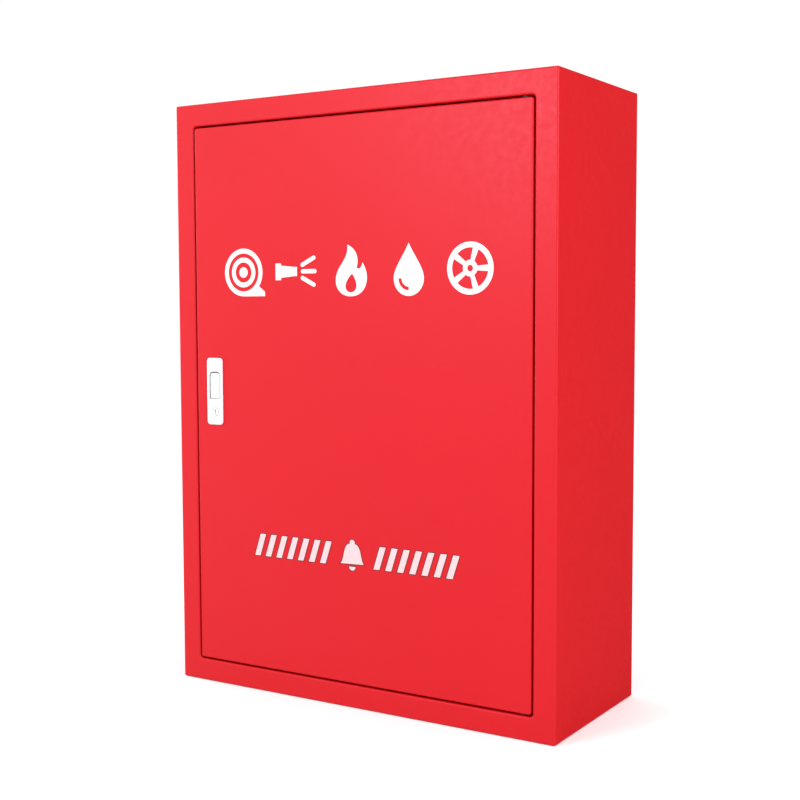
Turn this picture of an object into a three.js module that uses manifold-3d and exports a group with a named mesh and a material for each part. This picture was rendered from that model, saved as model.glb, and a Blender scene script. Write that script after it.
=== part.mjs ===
// Fire hydrant (standpipe) cabinet: a folded steel box with a flush, lockable door, an angle
// valve on the riser, a hose rack and a stored nozzle. Millimetres, +Z up. The front faces -Y and
// the origin is the centre of the footprint, on the surface that the cabinet stands on.
import * as THREE from "three";
import { mergeVertices } from "three/addons/utils/BufferGeometryUtils.js";
import Module from "manifold-3d";

const wasm = await Module();
wasm.setup();

// ---------------------------------------------------------------- driving dimensions
const width = 580;
const height = 800;
const depth = 240;
const sheet = 1.5; // steel sheet of the box and the door
const bend = 2.5; // outer radius of every fold
const border = 30; // visible frame round the door
const lipDepth = 15; // return of the frame, beside the door
const mitreGap = 0.15; // each side of a mitred seam
const fitGap = 0.3; // clearance between pieces that touch

const doorGap = 2.5; // groove between frame and door
const doorDepth = 20; // depth of the folded door pan
const doorCorner = 4; // corner radius of the door, seen from the front
const hingeInset = 12; // hinge axis, from the door's right edge
const hingeSetback = 6; // hinge axis, behind the front face
const pinRadius = 2.2;

const lockWidth = 27; // visible lock plate
const lockHeight = 92;
const lockProud = 2; // the plate stands this far off the door
const lockInset = 32; // lock centre line, from the door's left edge
const lockMiddle = 408; // height of the plate's middle
const recessWidth = 19.5;
const recessHeight = 37.5;
const keyRadius = 5.5;

const pipeRadius = 38; // riser pipe of nominal size 65
const pipeBore = 33;
const valveFromSide = 140; // valve centre to the cabinet's left side
const valveFromBack = 100; // valve centre to the back panel
const outletHeight = 106;
const outletReach = 85; // valve centre to the outlet face
const seatHeight = 78;
const discRadius = 31;
const stemRadius = 8;
const wheelRadius = 60;
const wheelHeight = 222;

const rackHeight = 575;
const rackCentre = 70;
const rackSpan = 230;
const rackReach = 160;
const rackRod = 5;

const nozzleFromSide = 65; // nozzle axis to the cabinet's left side
const nozzleBottom = 290;
const nozzleLength = 310;
const nozzleRadius = 22;
const nozzleTipBore = 9.5;
const couplingRadius = 46;

// ---------------------------------------------------------------- places that follow from them
const overallDepth = depth + lockProud;
const front = -overallDepth / 2 + lockProud; // the frame's and the door's front face
const back = overallDepth / 2;
const backInner = back - sheet;
const left = -width / 2;
const right = width / 2;
const doorLeft = left + border + doorGap;
const doorRight = right - border - doorGap;
const doorBottom = border + doorGap;
const doorTop = height - border - doorGap;
const hinge = new THREE.Vector2(doorRight - hingeInset, front + hingeSetback);
const lockX = doorLeft + lockInset;
const nozzleX = left + nozzleFromSide;
const valve = new THREE.Vector2(left + valveFromSide, backInner - valveFromBack);

// ---------------------------------------------------------------- materials
const finish = (color, metalness, roughness) =>
  new THREE.MeshStandardMaterial({ color, metalness, roughness });
const redPaint = finish(0xd9121c, 0.0, 0.38);
const zincPlate = finish(0xc9ccd0, 0.9, 0.35);
const chrome = finish(0xe8eaec, 1.0, 0.18);
const brass = finish(0xc9a24a, 0.95, 0.3);
const aluminium = finish(0xb9bcbf, 0.9, 0.42);
const castIron = finish(0xb8141a, 0.1, 0.5);
const rubber = finish(0x1b1b1c, 0.0, 0.8);
const nylon = finish(0x2a2a2c, 0.0, 0.55);
const ink = finish(0xfdeeec, 0.0, 0.45);

// ---------------------------------------------------------------- geometry helpers
const turns = 28; // facets round a turned piece

const signedVolume = (geometry) => {
  const p = geometry.attributes.position;
  const index = geometry.index;
  const [a, b, c] = [new THREE.Vector3(), new THREE.Vector3(), new THREE.Vector3()];
  let volume = 0;
  for (let i = 0; i < index.count; i += 3) {
    a.fromBufferAttribute(p, index.getX(i));
    b.fromBufferAttribute(p, index.getX(i + 1));
    c.fromBufferAttribute(p, index.getX(i + 2));
    volume += a.dot(b.cross(c)) / 6;
  }
  return volume;
};

// One closed mesh: shared vertices merged, slivers dropped, faces pointing out.
const closed = (geometry) => {
  const bare = geometry.clone();
  bare.deleteAttribute("normal");
  bare.deleteAttribute("uv");
  const merged = mergeVertices(bare, 1e-4);
  const kept = [];
  for (let i = 0; i < merged.index.count; i += 3) {
    const [a, b, c] = [0, 1, 2].map((k) => merged.index.getX(i + k));
    if (a !== b && b !== c && c !== a) kept.push(a, b, c);
  }
  merged.setIndex(kept);
  if (signedVolume(merged) < 0) {
    for (let i = 0; i < kept.length; i += 3) [kept[i], kept[i + 1]] = [kept[i + 1], kept[i]];
    merged.setIndex(kept);
  }
  return merged;
};

const toSolid = (geometry) => {
  const mesh = closed(geometry);
  return new wasm.Manifold(
    new wasm.Mesh({
      numProp: 3,
      vertProperties: new Float32Array(mesh.attributes.position.array),
      triVerts: new Uint32Array(mesh.index.array),
    }),
  );
};

const fromSolid = (solid) => {
  const mesh = solid.getMesh();
  const geometry = new THREE.BufferGeometry();
  geometry.setAttribute("position", new THREE.BufferAttribute(mesh.vertProperties, 3));
  geometry.setIndex(new THREE.BufferAttribute(mesh.triVerts, 1));
  return geometry;
};

const cut = (geometry, ...tools) =>
  fromSolid(tools.reduce((solid, tool) => solid.subtract(toSolid(tool)), toSolid(geometry)));
const join = (geometry, ...others) =>
  fromSolid(others.reduce((solid, other) => solid.add(toSolid(other)), toSolid(geometry)));

// A block between two opposite corners.
const block = (x0, x1, y0, y1, z0, z1) =>
  new THREE.BoxGeometry(x1 - x0, y1 - y0, z1 - z0).translate(
    (x0 + x1) / 2,
    (y0 + y1) / 2,
    (z0 + z1) / 2,
  );

// A straight rod from start to end; six segments make a hexagon head.
const rod = (radius, start, end, segments = 20) => {
  const from = new THREE.Vector3(...start);
  const along = new THREE.Vector3(...end).sub(from);
  const turn = new THREE.Quaternion().setFromUnitVectors(
    new THREE.Vector3(0, 1, 0),
    along.clone().normalize(),
  );
  return new THREE.CylinderGeometry(radius, radius, along.length(), segments)
    .applyQuaternion(turn)
    .translate(...from.addScaledVector(along, 0.5));
};

// A turned shape about Z from [radius, height] points.
const turned = (points, segments = turns) =>
  closed(
    new THREE.LatheGeometry(
      points.map(([r, z]) => new THREE.Vector2(r, z)),
      segments,
    ).rotateX(Math.PI / 2),
  );

// A turned ring: the section closes on itself.
const turnedRing = (points, segments = turns) => turned([...points, points[0]], segments);

const ring = (outer, inner, z0, z1, segments = turns) =>
  turnedRing([[inner, z0], [outer, z0], [outer, z1], [inner, z1]], segments);

// Stands a shape made about Z along -Y instead, its foot at the given place.
const facingFront = (geometry, x, y, z) => geometry.rotateX(Math.PI / 2).translate(x, y, z);

const roundedRect = (w, h, r) => {
  const shape = new THREE.Shape();
  shape.moveTo(-w / 2 + r, -h / 2);
  shape.lineTo(w / 2 - r, -h / 2);
  shape.absarc(w / 2 - r, -h / 2 + r, r, -Math.PI / 2, 0);
  shape.lineTo(w / 2, h / 2 - r);
  shape.absarc(w / 2 - r, h / 2 - r, r, 0, Math.PI / 2);
  shape.lineTo(-w / 2 + r, h / 2);
  shape.absarc(-w / 2 + r, h / 2 - r, r, Math.PI / 2, Math.PI);
  shape.lineTo(-w / 2, -h / 2 + r);
  shape.absarc(-w / 2 + r, -h / 2 + r, r, Math.PI, 1.5 * Math.PI);
  return shape;
};

// A tab standing on z = 0 with its two top corners rounded.
const archedTab = (w, h, r) => {
  const shape = new THREE.Shape();
  shape.moveTo(-w / 2, 0);
  shape.lineTo(w / 2, 0);
  shape.lineTo(w / 2, h - r);
  shape.absarc(w / 2 - r, h - r, r, 0, Math.PI / 2);
  shape.lineTo(-w / 2 + r, h);
  shape.absarc(-w / 2 + r, h - r, r, Math.PI / 2, Math.PI);
  return shape;
};

// Extrudes an outline drawn in X and Z along +Y, from y0 to y1.
const plate = (shape, y0, y1, curveSegments = 4) =>
  new THREE.ExtrudeGeometry(shape, { depth: y1 - y0, bevelEnabled: false, curveSegments })
    .rotateX(Math.PI / 2)
    .translate(0, y1, 0);

const outline = (points) => new THREE.Shape(points.map(([x, y]) => new THREE.Vector2(x, y)));

const cabinet = new THREE.Group();
const add = (name, geometry, material) => {
  const mesh = new THREE.Mesh(closed(geometry), material);
  mesh.name = name;
  cabinet.add(mesh);
  return mesh;
};

// ---------------------------------------------------------------- the box
// Section of one side of the box: wall, front border and the return beside the door.
// u runs inwards from the outer face, v runs back from the front face.
const frameSection = () => {
  const inner = bend - sheet;
  const s = new THREE.Shape();
  s.moveTo(0, depth - sheet);
  s.lineTo(0, bend);
  s.absarc(bend, bend, bend, Math.PI, 1.5 * Math.PI);
  s.lineTo(border - bend, 0);
  s.absarc(border - bend, bend, bend, -Math.PI / 2, 0);
  s.lineTo(border, lipDepth);
  s.lineTo(border - sheet, lipDepth);
  s.lineTo(border - sheet, bend);
  s.absarc(border - bend, bend, inner, 0, -Math.PI / 2, true);
  s.lineTo(bend, sheet);
  s.absarc(bend, bend, inner, 1.5 * Math.PI, Math.PI, true);
  s.lineTo(sheet, depth - sheet);
  return s;
};

// The section drawn out to a length and mitred at both ends, then put in place.
const mitredSide = (length, place) => {
  const geometry = new THREE.ExtrudeGeometry(frameSection(), {
    depth: length,
    bevelEnabled: false,
    curveSegments: 2,
  });
  const p = geometry.attributes.position;
  for (let i = 0; i < p.count; i += 1) {
    const [u, v, l] = [p.getX(i), p.getY(i), p.getZ(i)];
    const shortened = u + mitreGap;
    p.setXYZ(i, ...place(u, v, l < length / 2 ? shortened : length - shortened));
  }
  return geometry;
};

const pinHole = (z) => rod(pinRadius + fitGap, [hinge.x, hinge.y, z - 4], [hinge.x, hinge.y, z + 4]);

const entryRadius = pipeRadius + 6; // pipe openings in the bottom panel
const spareEntryX = -valve.x;
const entryHole = (x) => rod(entryRadius, [x, valve.y, -5], [x, valve.y, 5], turns);

function buildBox() {
  add("left_panel", mitredSide(height, (u, v, l) => [left + u, front + v, l]), redPaint);
  add("right_panel", mitredSide(height, (u, v, l) => [right - u, front + v, l]), redPaint);
  const top = mitredSide(width, (u, v, l) => [left + l, front + v, height - u]);
  add("top_panel", cut(top, pinHole(height - border)), redPaint);
  const bottom = mitredSide(width, (u, v, l) => [left + l, front + v, u]);
  const openings = [pinHole(border), entryHole(valve.x), entryHole(spareEntryX)];
  add("bottom_panel", cut(bottom, ...openings), redPaint);

  const fixingInset = 60;
  const fixingRadius = 4.5;
  const fixings = [];
  for (const x of [left + fixingInset, right - fixingInset]) {
    for (const z of [fixingInset * 2, height - fixingInset]) {
      fixings.push(rod(fixingRadius, [x, back - 5, z], [x, back + 5, z], 16));
    }
  }
  add("back_panel", cut(block(left, right, backInner, back, 0, height), ...fixings), redPaint);
}

// Concealed pivots: a pin through the frame's return into a bush in the door's edge.
const bracketThick = 4;
const bracketSpan = { left: 18, right: 11, front: 4, rear: 9 }; // from the hinge axis
const pinHead = 2.3; // height of the pin's head
const pinEngage = 14; // depth that the pin reaches into the opening
const bushLength = 8;
const bushCollar = 1.2; // thickness of the bush's collar, in the groove
const bushRadius = 3.6;
const collarRadius = 4.5;
function buildHinge(end, frameEdge, up) {
  const { x, y } = hinge;
  const z = (distance) => frameEdge + up * distance; // distance out from the door opening
  const slab = (a, b) => [Math.min(z(a), z(b)), Math.max(z(a), z(b))];
  const seat = sheet + fitGap;
  const span = bracketSpan;
  const rise = slab(seat, seat + bracketThick);
  const bracket = block(x - span.left, x + span.right, y - span.front, y + span.rear, ...rise);
  add(`hinge_bracket_${end}`, cut(bracket, pinHole(z(seat + bracketThick / 2))), zincPlate);
  const headFoot = seat + bracketThick + fitGap;
  const shank = rod(pinRadius, [x, y, z(headFoot + 1)], [x, y, z(-pinEngage)]);
  const head = rod(2 * pinRadius, [x, y, z(headFoot)], [x, y, z(headFoot + pinHead)]);
  add(`hinge_pin_${end}`, join(shank, head), redPaint);
  const collarFoot = -doorGap + fitGap / 2;
  const collar = rod(collarRadius, [x, y, z(collarFoot)], [x, y, z(collarFoot + bushCollar)]);
  const sleeve = rod(bushRadius, [x, y, z(-doorGap + fitGap)], [x, y, z(-doorGap - bushLength)]);
  const bore = rod(pinRadius + fitGap, [x, y, z(doorGap)], [x, y, z(-2 * bushLength)]);
  add(`hinge_bush_${end}`, cut(join(collar, sleeve), bore), nylon);
}

// Stops for the lock side of the door, welded behind the frame's return.
const stopThick = 3;
const stopHalf = 20; // half of the stop's height
const padThick = 2.7;
function buildDoorStop(end, z) {
  const lip = left + border;
  const padFront = front + doorDepth + fitGap;
  const padBack = padFront + padThick;
  const stopBack = padBack + stopThick;
  const armRight = lip - sheet - fitGap;
  const armLeft = armRight - stopThick;
  const arm = block(armLeft, armRight, front + 6, stopBack, z - stopHalf, z + stopHalf);
  const foot = block(armLeft, lip + 18, padBack, stopBack, z - stopHalf, z + stopHalf);
  add(`door_stop_${end}`, join(arm, foot), zincPlate);
  add(
    `stop_pad_${end}`,
    turned([[0, 0], [5, 0], [6, padThick], [0, padThick]], 20)
      .rotateX(-Math.PI / 2)
      .translate(lip + 10, padFront, z),
    rubber,
  );
}

// ---------------------------------------------------------------- the door
const cupWidth = 24; // lock body behind the plate
const cupHeight = lockHeight - 5;
const cupDepth = 16;
const keyZ = lockMiddle - 28.5;
const recessBottom = lockMiddle - 10.5;
const recessTop = recessBottom + recessHeight;

function buildDoor() {
  const midX = (doorLeft + doorRight) / 2;
  const midZ = (doorBottom + doorTop) / 2;
  const w = doorRight - doorLeft;
  const h = doorTop - doorBottom;
  const pan = plate(roundedRect(w, h, doorCorner), front, front + doorDepth);
  pan.translate(midX, 0, midZ);
  const hollowShape = roundedRect(w - 2 * sheet, h - 2 * sheet, doorCorner - sheet);
  const hollow = plate(hollowShape, front + sheet, front + doorDepth + 1);
  hollow.translate(midX, 0, midZ);
  const lockHole = plate(roundedRect(cupWidth + 1, cupHeight + 1, 3), front - 1, front + 3);
  lockHole.translate(lockX, 0, lockMiddle);
  const notch = block(doorLeft - 1, doorLeft + 3, front + 13, front + 22, keyZ - 37, recessTop - 6);
  const bushHole = rod(
    bushRadius + fitGap,
    [hinge.x, hinge.y, doorBottom - 5],
    [hinge.x, hinge.y, doorTop + 5],
  );
  add("door_panel", cut(pan, hollow, lockHole, notch, bushHole), redPaint);

  // Stiffener: a hat-shaped channel down the middle of the door.
  const crown = 20;
  const brim = 34;
  const rise = 12;
  const gauge = 1.2;
  const inner = front + sheet + fitGap;
  const hat = outline([
    [-brim, 0],
    [-crown, 0],
    [-crown + 4, rise - gauge],
    [crown - 4, rise - gauge],
    [crown, 0],
    [brim, 0],
    [brim, gauge],
    [crown + gauge, gauge],
    [crown - 3, rise],
    [-crown + 3, rise],
    [-crown - gauge, gauge],
    [-brim, gauge],
  ]);
  const ribLength = h - 30;
  const rib = new THREE.ExtrudeGeometry(hat, { depth: ribLength, bevelEnabled: false });
  add("door_stiffener", rib.translate(midX, inner, midZ - ribLength / 2), redPaint);
}

// ---------------------------------------------------------------- the lock
const cupBack = front + cupDepth;
const archCorner = 6; // top corners of the recess
const paddleSide = 1.3; // gap beside the paddle
const paddleWidth = recessWidth - 2 * paddleSide;
const paddleSunk = 0.7; // paddle face, below the plate's face
const paddleThick = 4;
const knuckleRadius = 2.3;
const paddlePin = 1.1;
const paddleFace = front - lockProud + paddleSunk;
const paddlePivot = new THREE.Vector2(paddleFace + knuckleRadius, recessBottom + knuckleRadius + 0.5);
const latchThick = 8;
const latchHalf = 7;
const latchZ = lockMiddle + 10;
const latchY = cupBack + 1.2; // front face of the latch bolt
const latchNose = left + border + 0.6; // stops just short of the frame's return
const latchTail = lockX + 5;
const caseEnd = lockX + 22;

function buildLock() {
  // Plate and cup are one casting, with an arched recess and the key barrel's hole.
  const faceShape = roundedRect(lockWidth, lockHeight, 5);
  const face = plate(faceShape, front - lockProud, front - fitGap / 2, 6);
  const cup = plate(roundedRect(cupWidth, cupHeight, 3), front - lockProud + 1, cupBack);
  const recessShape = archedTab(recessWidth, recessHeight, archCorner);
  const recess = plate(recessShape, front - lockProud - 1, cupBack - 2, 6);
  recess.translate(0, 0, recessBottom - lockMiddle);
  const barrelHole = rod(
    keyRadius + fitGap,
    [0, front - 9, keyZ - lockMiddle],
    [0, cupBack + 5, keyZ - lockMiddle],
  );
  const pinHalf = cupWidth / 2 - 0.8; // half length of the paddle's pin
  const boreEnds = [-pinHalf - fitGap, pinHalf + fitGap].map((x) => [
    x,
    paddlePivot.x,
    paddlePivot.y - lockMiddle,
  ]);
  const pinBore = rod(paddlePin + fitGap, ...boreEnds, 12);
  const housing = cut(join(face, cup), recess, barrelHole, pinBore);
  add("lock_housing", housing.translate(lockX, 0, lockMiddle), chrome);

  // The paddle fills the recess and tips out about a pin at its foot.
  const { x: pivotY, y: pivotZ } = paddlePivot;
  const reach = recessTop - pivotZ - paddleSide;
  const half = paddleWidth / 2;
  const tabShape = archedTab(paddleWidth, reach, archCorner - 1);
  const tab = plate(tabShape, -knuckleRadius, paddleThick - knuckleRadius, 6);
  const knuckle = rod(knuckleRadius, [-half, 0, 0], [half, 0, 0], 20);
  const dishLength = reach - 5;
  const dish = plate(roundedRect(8, dishLength, 3.9), -knuckleRadius - 1, -knuckleRadius + 1.2, 6);
  dish.translate(0, 0, dishLength / 2 + 1.5);
  const pinWay = rod(paddlePin + fitGap, [-20, 0, 0], [20, 0, 0], 12);
  const paddle = cut(join(tab, knuckle), dish, pinWay);
  add("lock_paddle", paddle.translate(lockX, pivotY, pivotZ), chrome);
  const pinEnds = [-pinHalf, pinHalf].map((x) => [lockX + x, pivotY, pivotZ]);
  add("paddle_pin", rod(paddlePin, ...pinEnds, 12), zincPlate);

  // Straps clamp the cup to the door from behind, each with one screw.
  const inner = front + sheet + fitGap;
  const strapHalf = cupWidth / 2 + 3.5;
  const strapGauge = 1.5;
  const strapBack = cupBack + fitGap + strapGauge;
  const innerHalf = strapHalf - strapGauge;
  const straps = [
    ["upper", recessTop + 3, recessTop + 11],
    ["lower", keyZ - 16.5, keyZ - 8.5],
  ];
  for (const [end, z0, z1] of straps) {
    const over = block(-strapHalf, strapHalf, inner, strapBack, z0, z1);
    const under = block(-innerHalf, innerHalf, inner - 1, cupBack + fitGap, z0 - 1, z1 + 1);
    const middle = (z0 + z1) / 2;
    const screwWay = rod(2, [0, cupBack - 5, middle], [0, cupBack + 9, middle], 12);
    add(`lock_strap_${end}`, cut(over, under, screwWay).translate(lockX, 0, 0), zincPlate);
    const headFoot = strapBack + fitGap;
    const head = rod(3, [lockX, headFoot, middle], [lockX, headFoot + 1.8, middle], 16);
    const shank = rod(1.6, [lockX, cupBack + fitGap, middle], [lockX, headFoot + 1, middle], 12);
    add(`lock_screw_${end}`, join(shank, head), zincPlate);
  }

  // Latch bolt in its guide, pushed out by a spring.
  const nose = outline([
    [latchNose, latchY],
    [latchTail, latchY],
    [latchTail, latchY + latchThick],
    [latchNose + 6, latchY + latchThick],
    [latchNose, latchY + 2.5],
  ]);
  const bolt = new THREE.ExtrudeGeometry(nose, { depth: 2 * latchHalf, bevelEnabled: false });
  add("latch_bolt", bolt.translate(0, 0, latchZ - latchHalf), brass);
  const wall = 1.5;
  const slack = 0.5;
  const caseHalf = latchHalf + slack + wall;
  const caseBack = latchY + latchThick + slack + wall;
  const caseFront = cupBack + fitGap;
  const caseStart = doorLeft + 4;
  const [caseFoot, caseHead] = [latchZ - caseHalf, latchZ + caseHalf];
  const shell = block(caseStart, caseEnd, caseFront, caseBack, caseFoot, caseHead);
  const way = block(
    doorLeft,
    caseEnd - wall,
    cupBack - 2,
    caseBack - wall,
    caseFoot + wall,
    caseHead - wall,
  );
  add("latch_case", cut(shell, way), zincPlate);
  const springY = latchY + latchThick / 2;
  const spring = ring(3.2, 2.2, latchTail + fitGap, caseEnd - wall - fitGap, 16);
  add("latch_spring", spring.rotateY(Math.PI / 2).translate(0, springY, latchZ), zincPlate);

  // Key barrel, its nut, the plug that the key turns and the cam on the plug's end.
  const barrelBack = cupBack + 5;
  const sleeve = cut(
    join(
      rod(keyRadius, [0, front - 0.5, 0], [0, barrelBack, 0]),
      rod(keyRadius, [0, front - lockProud + 0.4, 0], [0, front + 1, 0]),
    ),
    rod(4.2, [0, front - 9, 0], [0, barrelBack + 9, 0], 20),
  );
  add("key_barrel", sleeve.translate(lockX, 0, keyZ), chrome);
  const nut = cut(
    rod(8, [0, cupBack + fitGap, 0], [0, cupBack + 4, 0], 6),
    rod(keyRadius + fitGap, [0, front, 0], [0, barrelBack + 9, 0]),
  );
  add("barrel_nut", nut.translate(lockX, 0, keyZ), zincPlate);
  const camFront = barrelBack + fitGap;
  const camThick = 2;
  const plug = cut(
    join(
      rod(3.9, [0, front - lockProud + 0.8, 0], [0, barrelBack, 0], 20),
      block(-2.5, 2.5, barrelBack - 2, camFront + camThick, -2.5, 2.5),
    ),
    block(-0.6, 0.6, front - 9, front + 12, -3, 3),
    block(-1.1, 1.1, front - 9, front + 12, 0.6, 2.4),
  );
  add("key_plug", plug.translate(lockX, 0, keyZ), chrome);
  const crank = 4.8; // the tip stands this much closer to the frame's return
  const arm = new THREE.Shape();
  arm.moveTo(-6, -28);
  arm.lineTo(6, -28);
  arm.lineTo(6, 0);
  arm.absarc(0, 0, 6, 0, Math.PI);
  const camArm = plate(arm, camFront, camFront + camThick, 8);
  const tip = block(-6, 6, camFront - crank, camFront - crank + camThick, -42, -26);
  const step = block(-6, 6, camFront - crank, camFront + camThick, -28, -26);
  const square = block(-2.8, 2.8, camFront - 3, camFront + 9, -2.8, 2.8);
  add("lock_cam", cut(join(camArm, tip, step), square).translate(lockX, 0, keyZ), zincPlate);
  const screwFoot = camFront + camThick + fitGap;
  add(
    "cam_screw",
    rod(4, [lockX, screwFoot, keyZ], [lockX, screwFoot + 2, keyZ], 16),
    zincPlate,
  );
}

// ---------------------------------------------------------------- the valve
const atValve = (geometry) => geometry.translate(valve.x, valve.y, 0);
const bodyTop = 160;
const neckRadius = 36;
const bonnetTop = 190;
const nippleTop = 60; // the riser's nipple ends here, inside the body
const branchRadius = 40; // outlet branch, outside
const branchBore = 32;
const glandTop = 203;
const stemEnd = 6; // radius of the stem's square-shouldered end, in the wheel
const threadRadius = 5; // the stem's threaded tip
const hubHalf = 8;
const rimRadius = 6;

function buildPipeEntry() {
  const spigot = entryRadius - fitGap;
  const lip = entryRadius + 5;
  const grommet = turnedRing([
    [pipeRadius + fitGap, 0.5],
    [spigot, 0.5],
    [spigot, sheet + fitGap],
    [lip, sheet + fitGap],
    [lip, 5],
    [pipeRadius + 3, 7],
    [pipeRadius + fitGap, 7],
  ]);
  add("pipe_grommet", atValve(grommet), rubber);
  add("inlet_nipple", atValve(ring(pipeRadius, pipeBore, 0, nippleTop)), zincPlate);
  const plug = turned([
    [0, 0.5],
    [spigot, 0.5],
    [spigot, sheet + fitGap],
    [lip, sheet + fitGap],
    [lip - 1, 4],
    [0, 4],
  ]);
  add("spare_entry_plug", plug.translate(spareEntryX, valve.y, 0), rubber);
}

function buildValve() {
  // Body: a globe casting with its inlet below, its neck above and its outlet to the front.
  const outer = turned([
    [0, 40], [46, 40], [46, 62], [52, 74], [57, 88], [58.5, outletHeight], [57, 124],
    [52, 136], [45, 145], [45, bodyTop], [0, bodyTop],
  ]);
  const branch = rod(branchRadius, [0, 0, outletHeight], [0, -outletReach, outletHeight], turns);
  const inside = turned([
    [0, 30], [pipeRadius + fitGap, 30], [pipeRadius + fitGap, nippleTop + fitGap],
    [pipeBore, nippleTop + fitGap],
    [pipeBore - 5, 70], [pipeBore - 5, seatHeight], [46, seatHeight], [50, 92], [50.5, outletHeight],
    [49, 122], [neckRadius, 136], [neckRadius, bodyTop + 5], [0, bodyTop + 5],
  ]);
  const wayStart = [0, 0, outletHeight + 1];
  const way = rod(branchBore, wayStart, [0, -outletReach - 5, outletHeight + 1], turns);
  const body = cut(join(outer, branch), inside, way);
  add("valve_body", atValve(body), castIron);

  const bonnet = turnedRing([
    [stemRadius + fitGap, 150], [neckRadius - fitGap, 148], [neckRadius - fitGap, bodyTop + fitGap],
    [46, bodyTop + fitGap], [46, 170], [34, 173], [24, 181], [17, bonnetTop],
    [stemRadius + fitGap, bonnetTop],
  ]);
  add("valve_bonnet", atValve(bonnet), castIron);
  const gland = ring(2 * stemRadius, stemRadius + fitGap, bonnetTop + fitGap, glandTop, 6);
  const glandBore = rod(stemRadius + fitGap, [0, 0, bodyTop], [0, 0, glandTop + 5]);
  add("gland_nut", atValve(cut(gland, glandBore)), brass);

  // The disc rises off its seat; the stem turns in it.
  const disc = turned([
    [0, 80.4], [discRadius, 80.4], [discRadius, 88], [26, 91], [15, 92], [15, 104],
    [stemRadius + fitGap, 104], [stemRadius + fitGap, 92], [0, 92],
  ]);
  add("valve_disc", atValve(disc), brass);
  add("disc_seal", atValve(ring(discRadius, 14, seatHeight + fitGap, 80.1)), rubber);
  const stem = turned([
    [0, 92.5], [stemRadius, 92.5], [stemRadius, wheelHeight - hubHalf],
    [stemEnd, wheelHeight - hubHalf], [stemEnd, wheelHeight + hubHalf],
    [threadRadius, wheelHeight + hubHalf + 1], [threadRadius, wheelHeight + 20],
    [0, wheelHeight + 21],
  ], 24);
  add("valve_stem", atValve(stem), brass);

  const rim = new THREE.TorusGeometry(wheelRadius - rimRadius, rimRadius, 8, 30);
  rim.translate(0, 0, wheelHeight);
  const hub = rod(13, [0, 0, wheelHeight - hubHalf + fitGap], [0, 0, wheelHeight + 6], 24);
  const spokes = [0, 1, 2, 3, 4].map((k) => {
    const turn = (k * 2 * Math.PI) / 5;
    const radial = (r, z) => [r * Math.cos(turn), r * Math.sin(turn), wheelHeight + z];
    return rod(4.5, radial(8, -1), radial(wheelRadius - 5, 0), 8);
  });
  const hubBore = rod(stemEnd + fitGap, [0, 0, wheelHeight - 30], [0, 0, wheelHeight + 30], 24);
  add("handwheel", atValve(cut(join(rim, hub, ...spokes), hubBore)), castIron);
  const nutBoreRadius = threadRadius + fitGap;
  const nut = ring(9.8, nutBoreRadius, wheelHeight + 9.3, wheelHeight + 17, 6);
  const nutBore = rod(nutBoreRadius, [0, 0, wheelHeight], [0, 0, wheelHeight + 30], 24);
  add("wheel_nut", atValve(cut(nut, nutBore)), zincPlate);

  // Outlet: a quick coupling with two lugs and its face seal.
  const outletY = valve.y - outletReach;
  const coupling = turnedRing([
    [32, fitGap], [43, fitGap], [43, 6], [49, 9], [49, 24], [45, 26], [38, 26], [38, 20], [32, 20],
  ]);
  const lugs = [-1, 1].map((side) =>
    block(side > 0 ? 44 : -54, side > 0 ? 54 : -44, -9, 9, 10, 24),
  );
  add(
    "outlet_coupling",
    facingFront(join(coupling, ...lugs), valve.x, outletY, outletHeight),
    aluminium,
  );
  const seal = ring(37.5, 32.5, 20 + fitGap, 25);
  add("outlet_gasket", facingFront(seal, valve.x, outletY, outletHeight), rubber);
}

// ---------------------------------------------------------------- the hose rack
function buildRack() {
  const plateGauge = 3;
  const plateHalf = rackSpan / 2 + 30;
  const plateBack = backInner - fitGap;
  const plateFront = plateBack - plateGauge;
  const bar = block(-plateHalf, plateHalf, plateFront, plateBack, rackHeight - 18, rackHeight + 22);
  const screwRadius = 3;
  const screwSpots = [-rackSpan / 4, rackSpan / 4].map((x) => [x, rackHeight + 2]);
  const ways = screwSpots.map(([x, z]) =>
    rod(screwRadius + fitGap, [x, plateFront - 5, z], [x, backInner + 5, z], 16),
  );
  add("rack_backplate", cut(bar, ...ways).translate(rackCentre, 0, 0), redPaint);
  screwSpots.forEach(([x, z], i) => {
    const at = (y) => [rackCentre + x, y, z];
    const head = rod(2 * screwRadius, at(plateFront - fitGap), at(plateFront - 4), 6);
    const shank = rod(screwRadius, at(backInner - fitGap), at(plateFront - 2), 16);
    add(`rack_screw_${i + 1}`, join(head, shank), zincPlate);
  });

  const turnUp = 25;
  const tip = backInner - rackReach;
  for (const [side, name] of [[-1, "left"], [1, "right"]]) {
    const route = new THREE.CurvePath();
    const at = (y, z) => new THREE.Vector3(0, y, rackHeight + z);
    route.add(new THREE.LineCurve3(at(plateFront - fitGap, 0), at(tip + turnUp, 0)));
    route.add(new THREE.QuadraticBezierCurve3(at(tip + turnUp, 0), at(tip, 0), at(tip, turnUp)));
    route.add(new THREE.LineCurve3(at(tip, turnUp), at(tip, turnUp * 2)));
    const section = new THREE.Shape().absarc(0, 0, rackRod, 0, 2 * Math.PI);
    const arm = new THREE.ExtrudeGeometry(section, {
      steps: 14,
      extrudePath: route,
      curveSegments: 6,
    });
    add(`rack_arm_${name}`, arm.translate(rackCentre + (side * rackSpan) / 2, 0, 0), zincPlate);
  }
  const tieHalf = rackSpan / 2 + 12;
  const tieRadius = 4;
  const tieZ = rackHeight - rackRod - tieRadius - fitGap;
  const ends = [-tieHalf, tieHalf].map((x) => [rackCentre + x, tip + 40, tieZ]);
  add("rack_tie_bar", rod(tieRadius, ...ends, 16), zincPlate);
}

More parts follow.
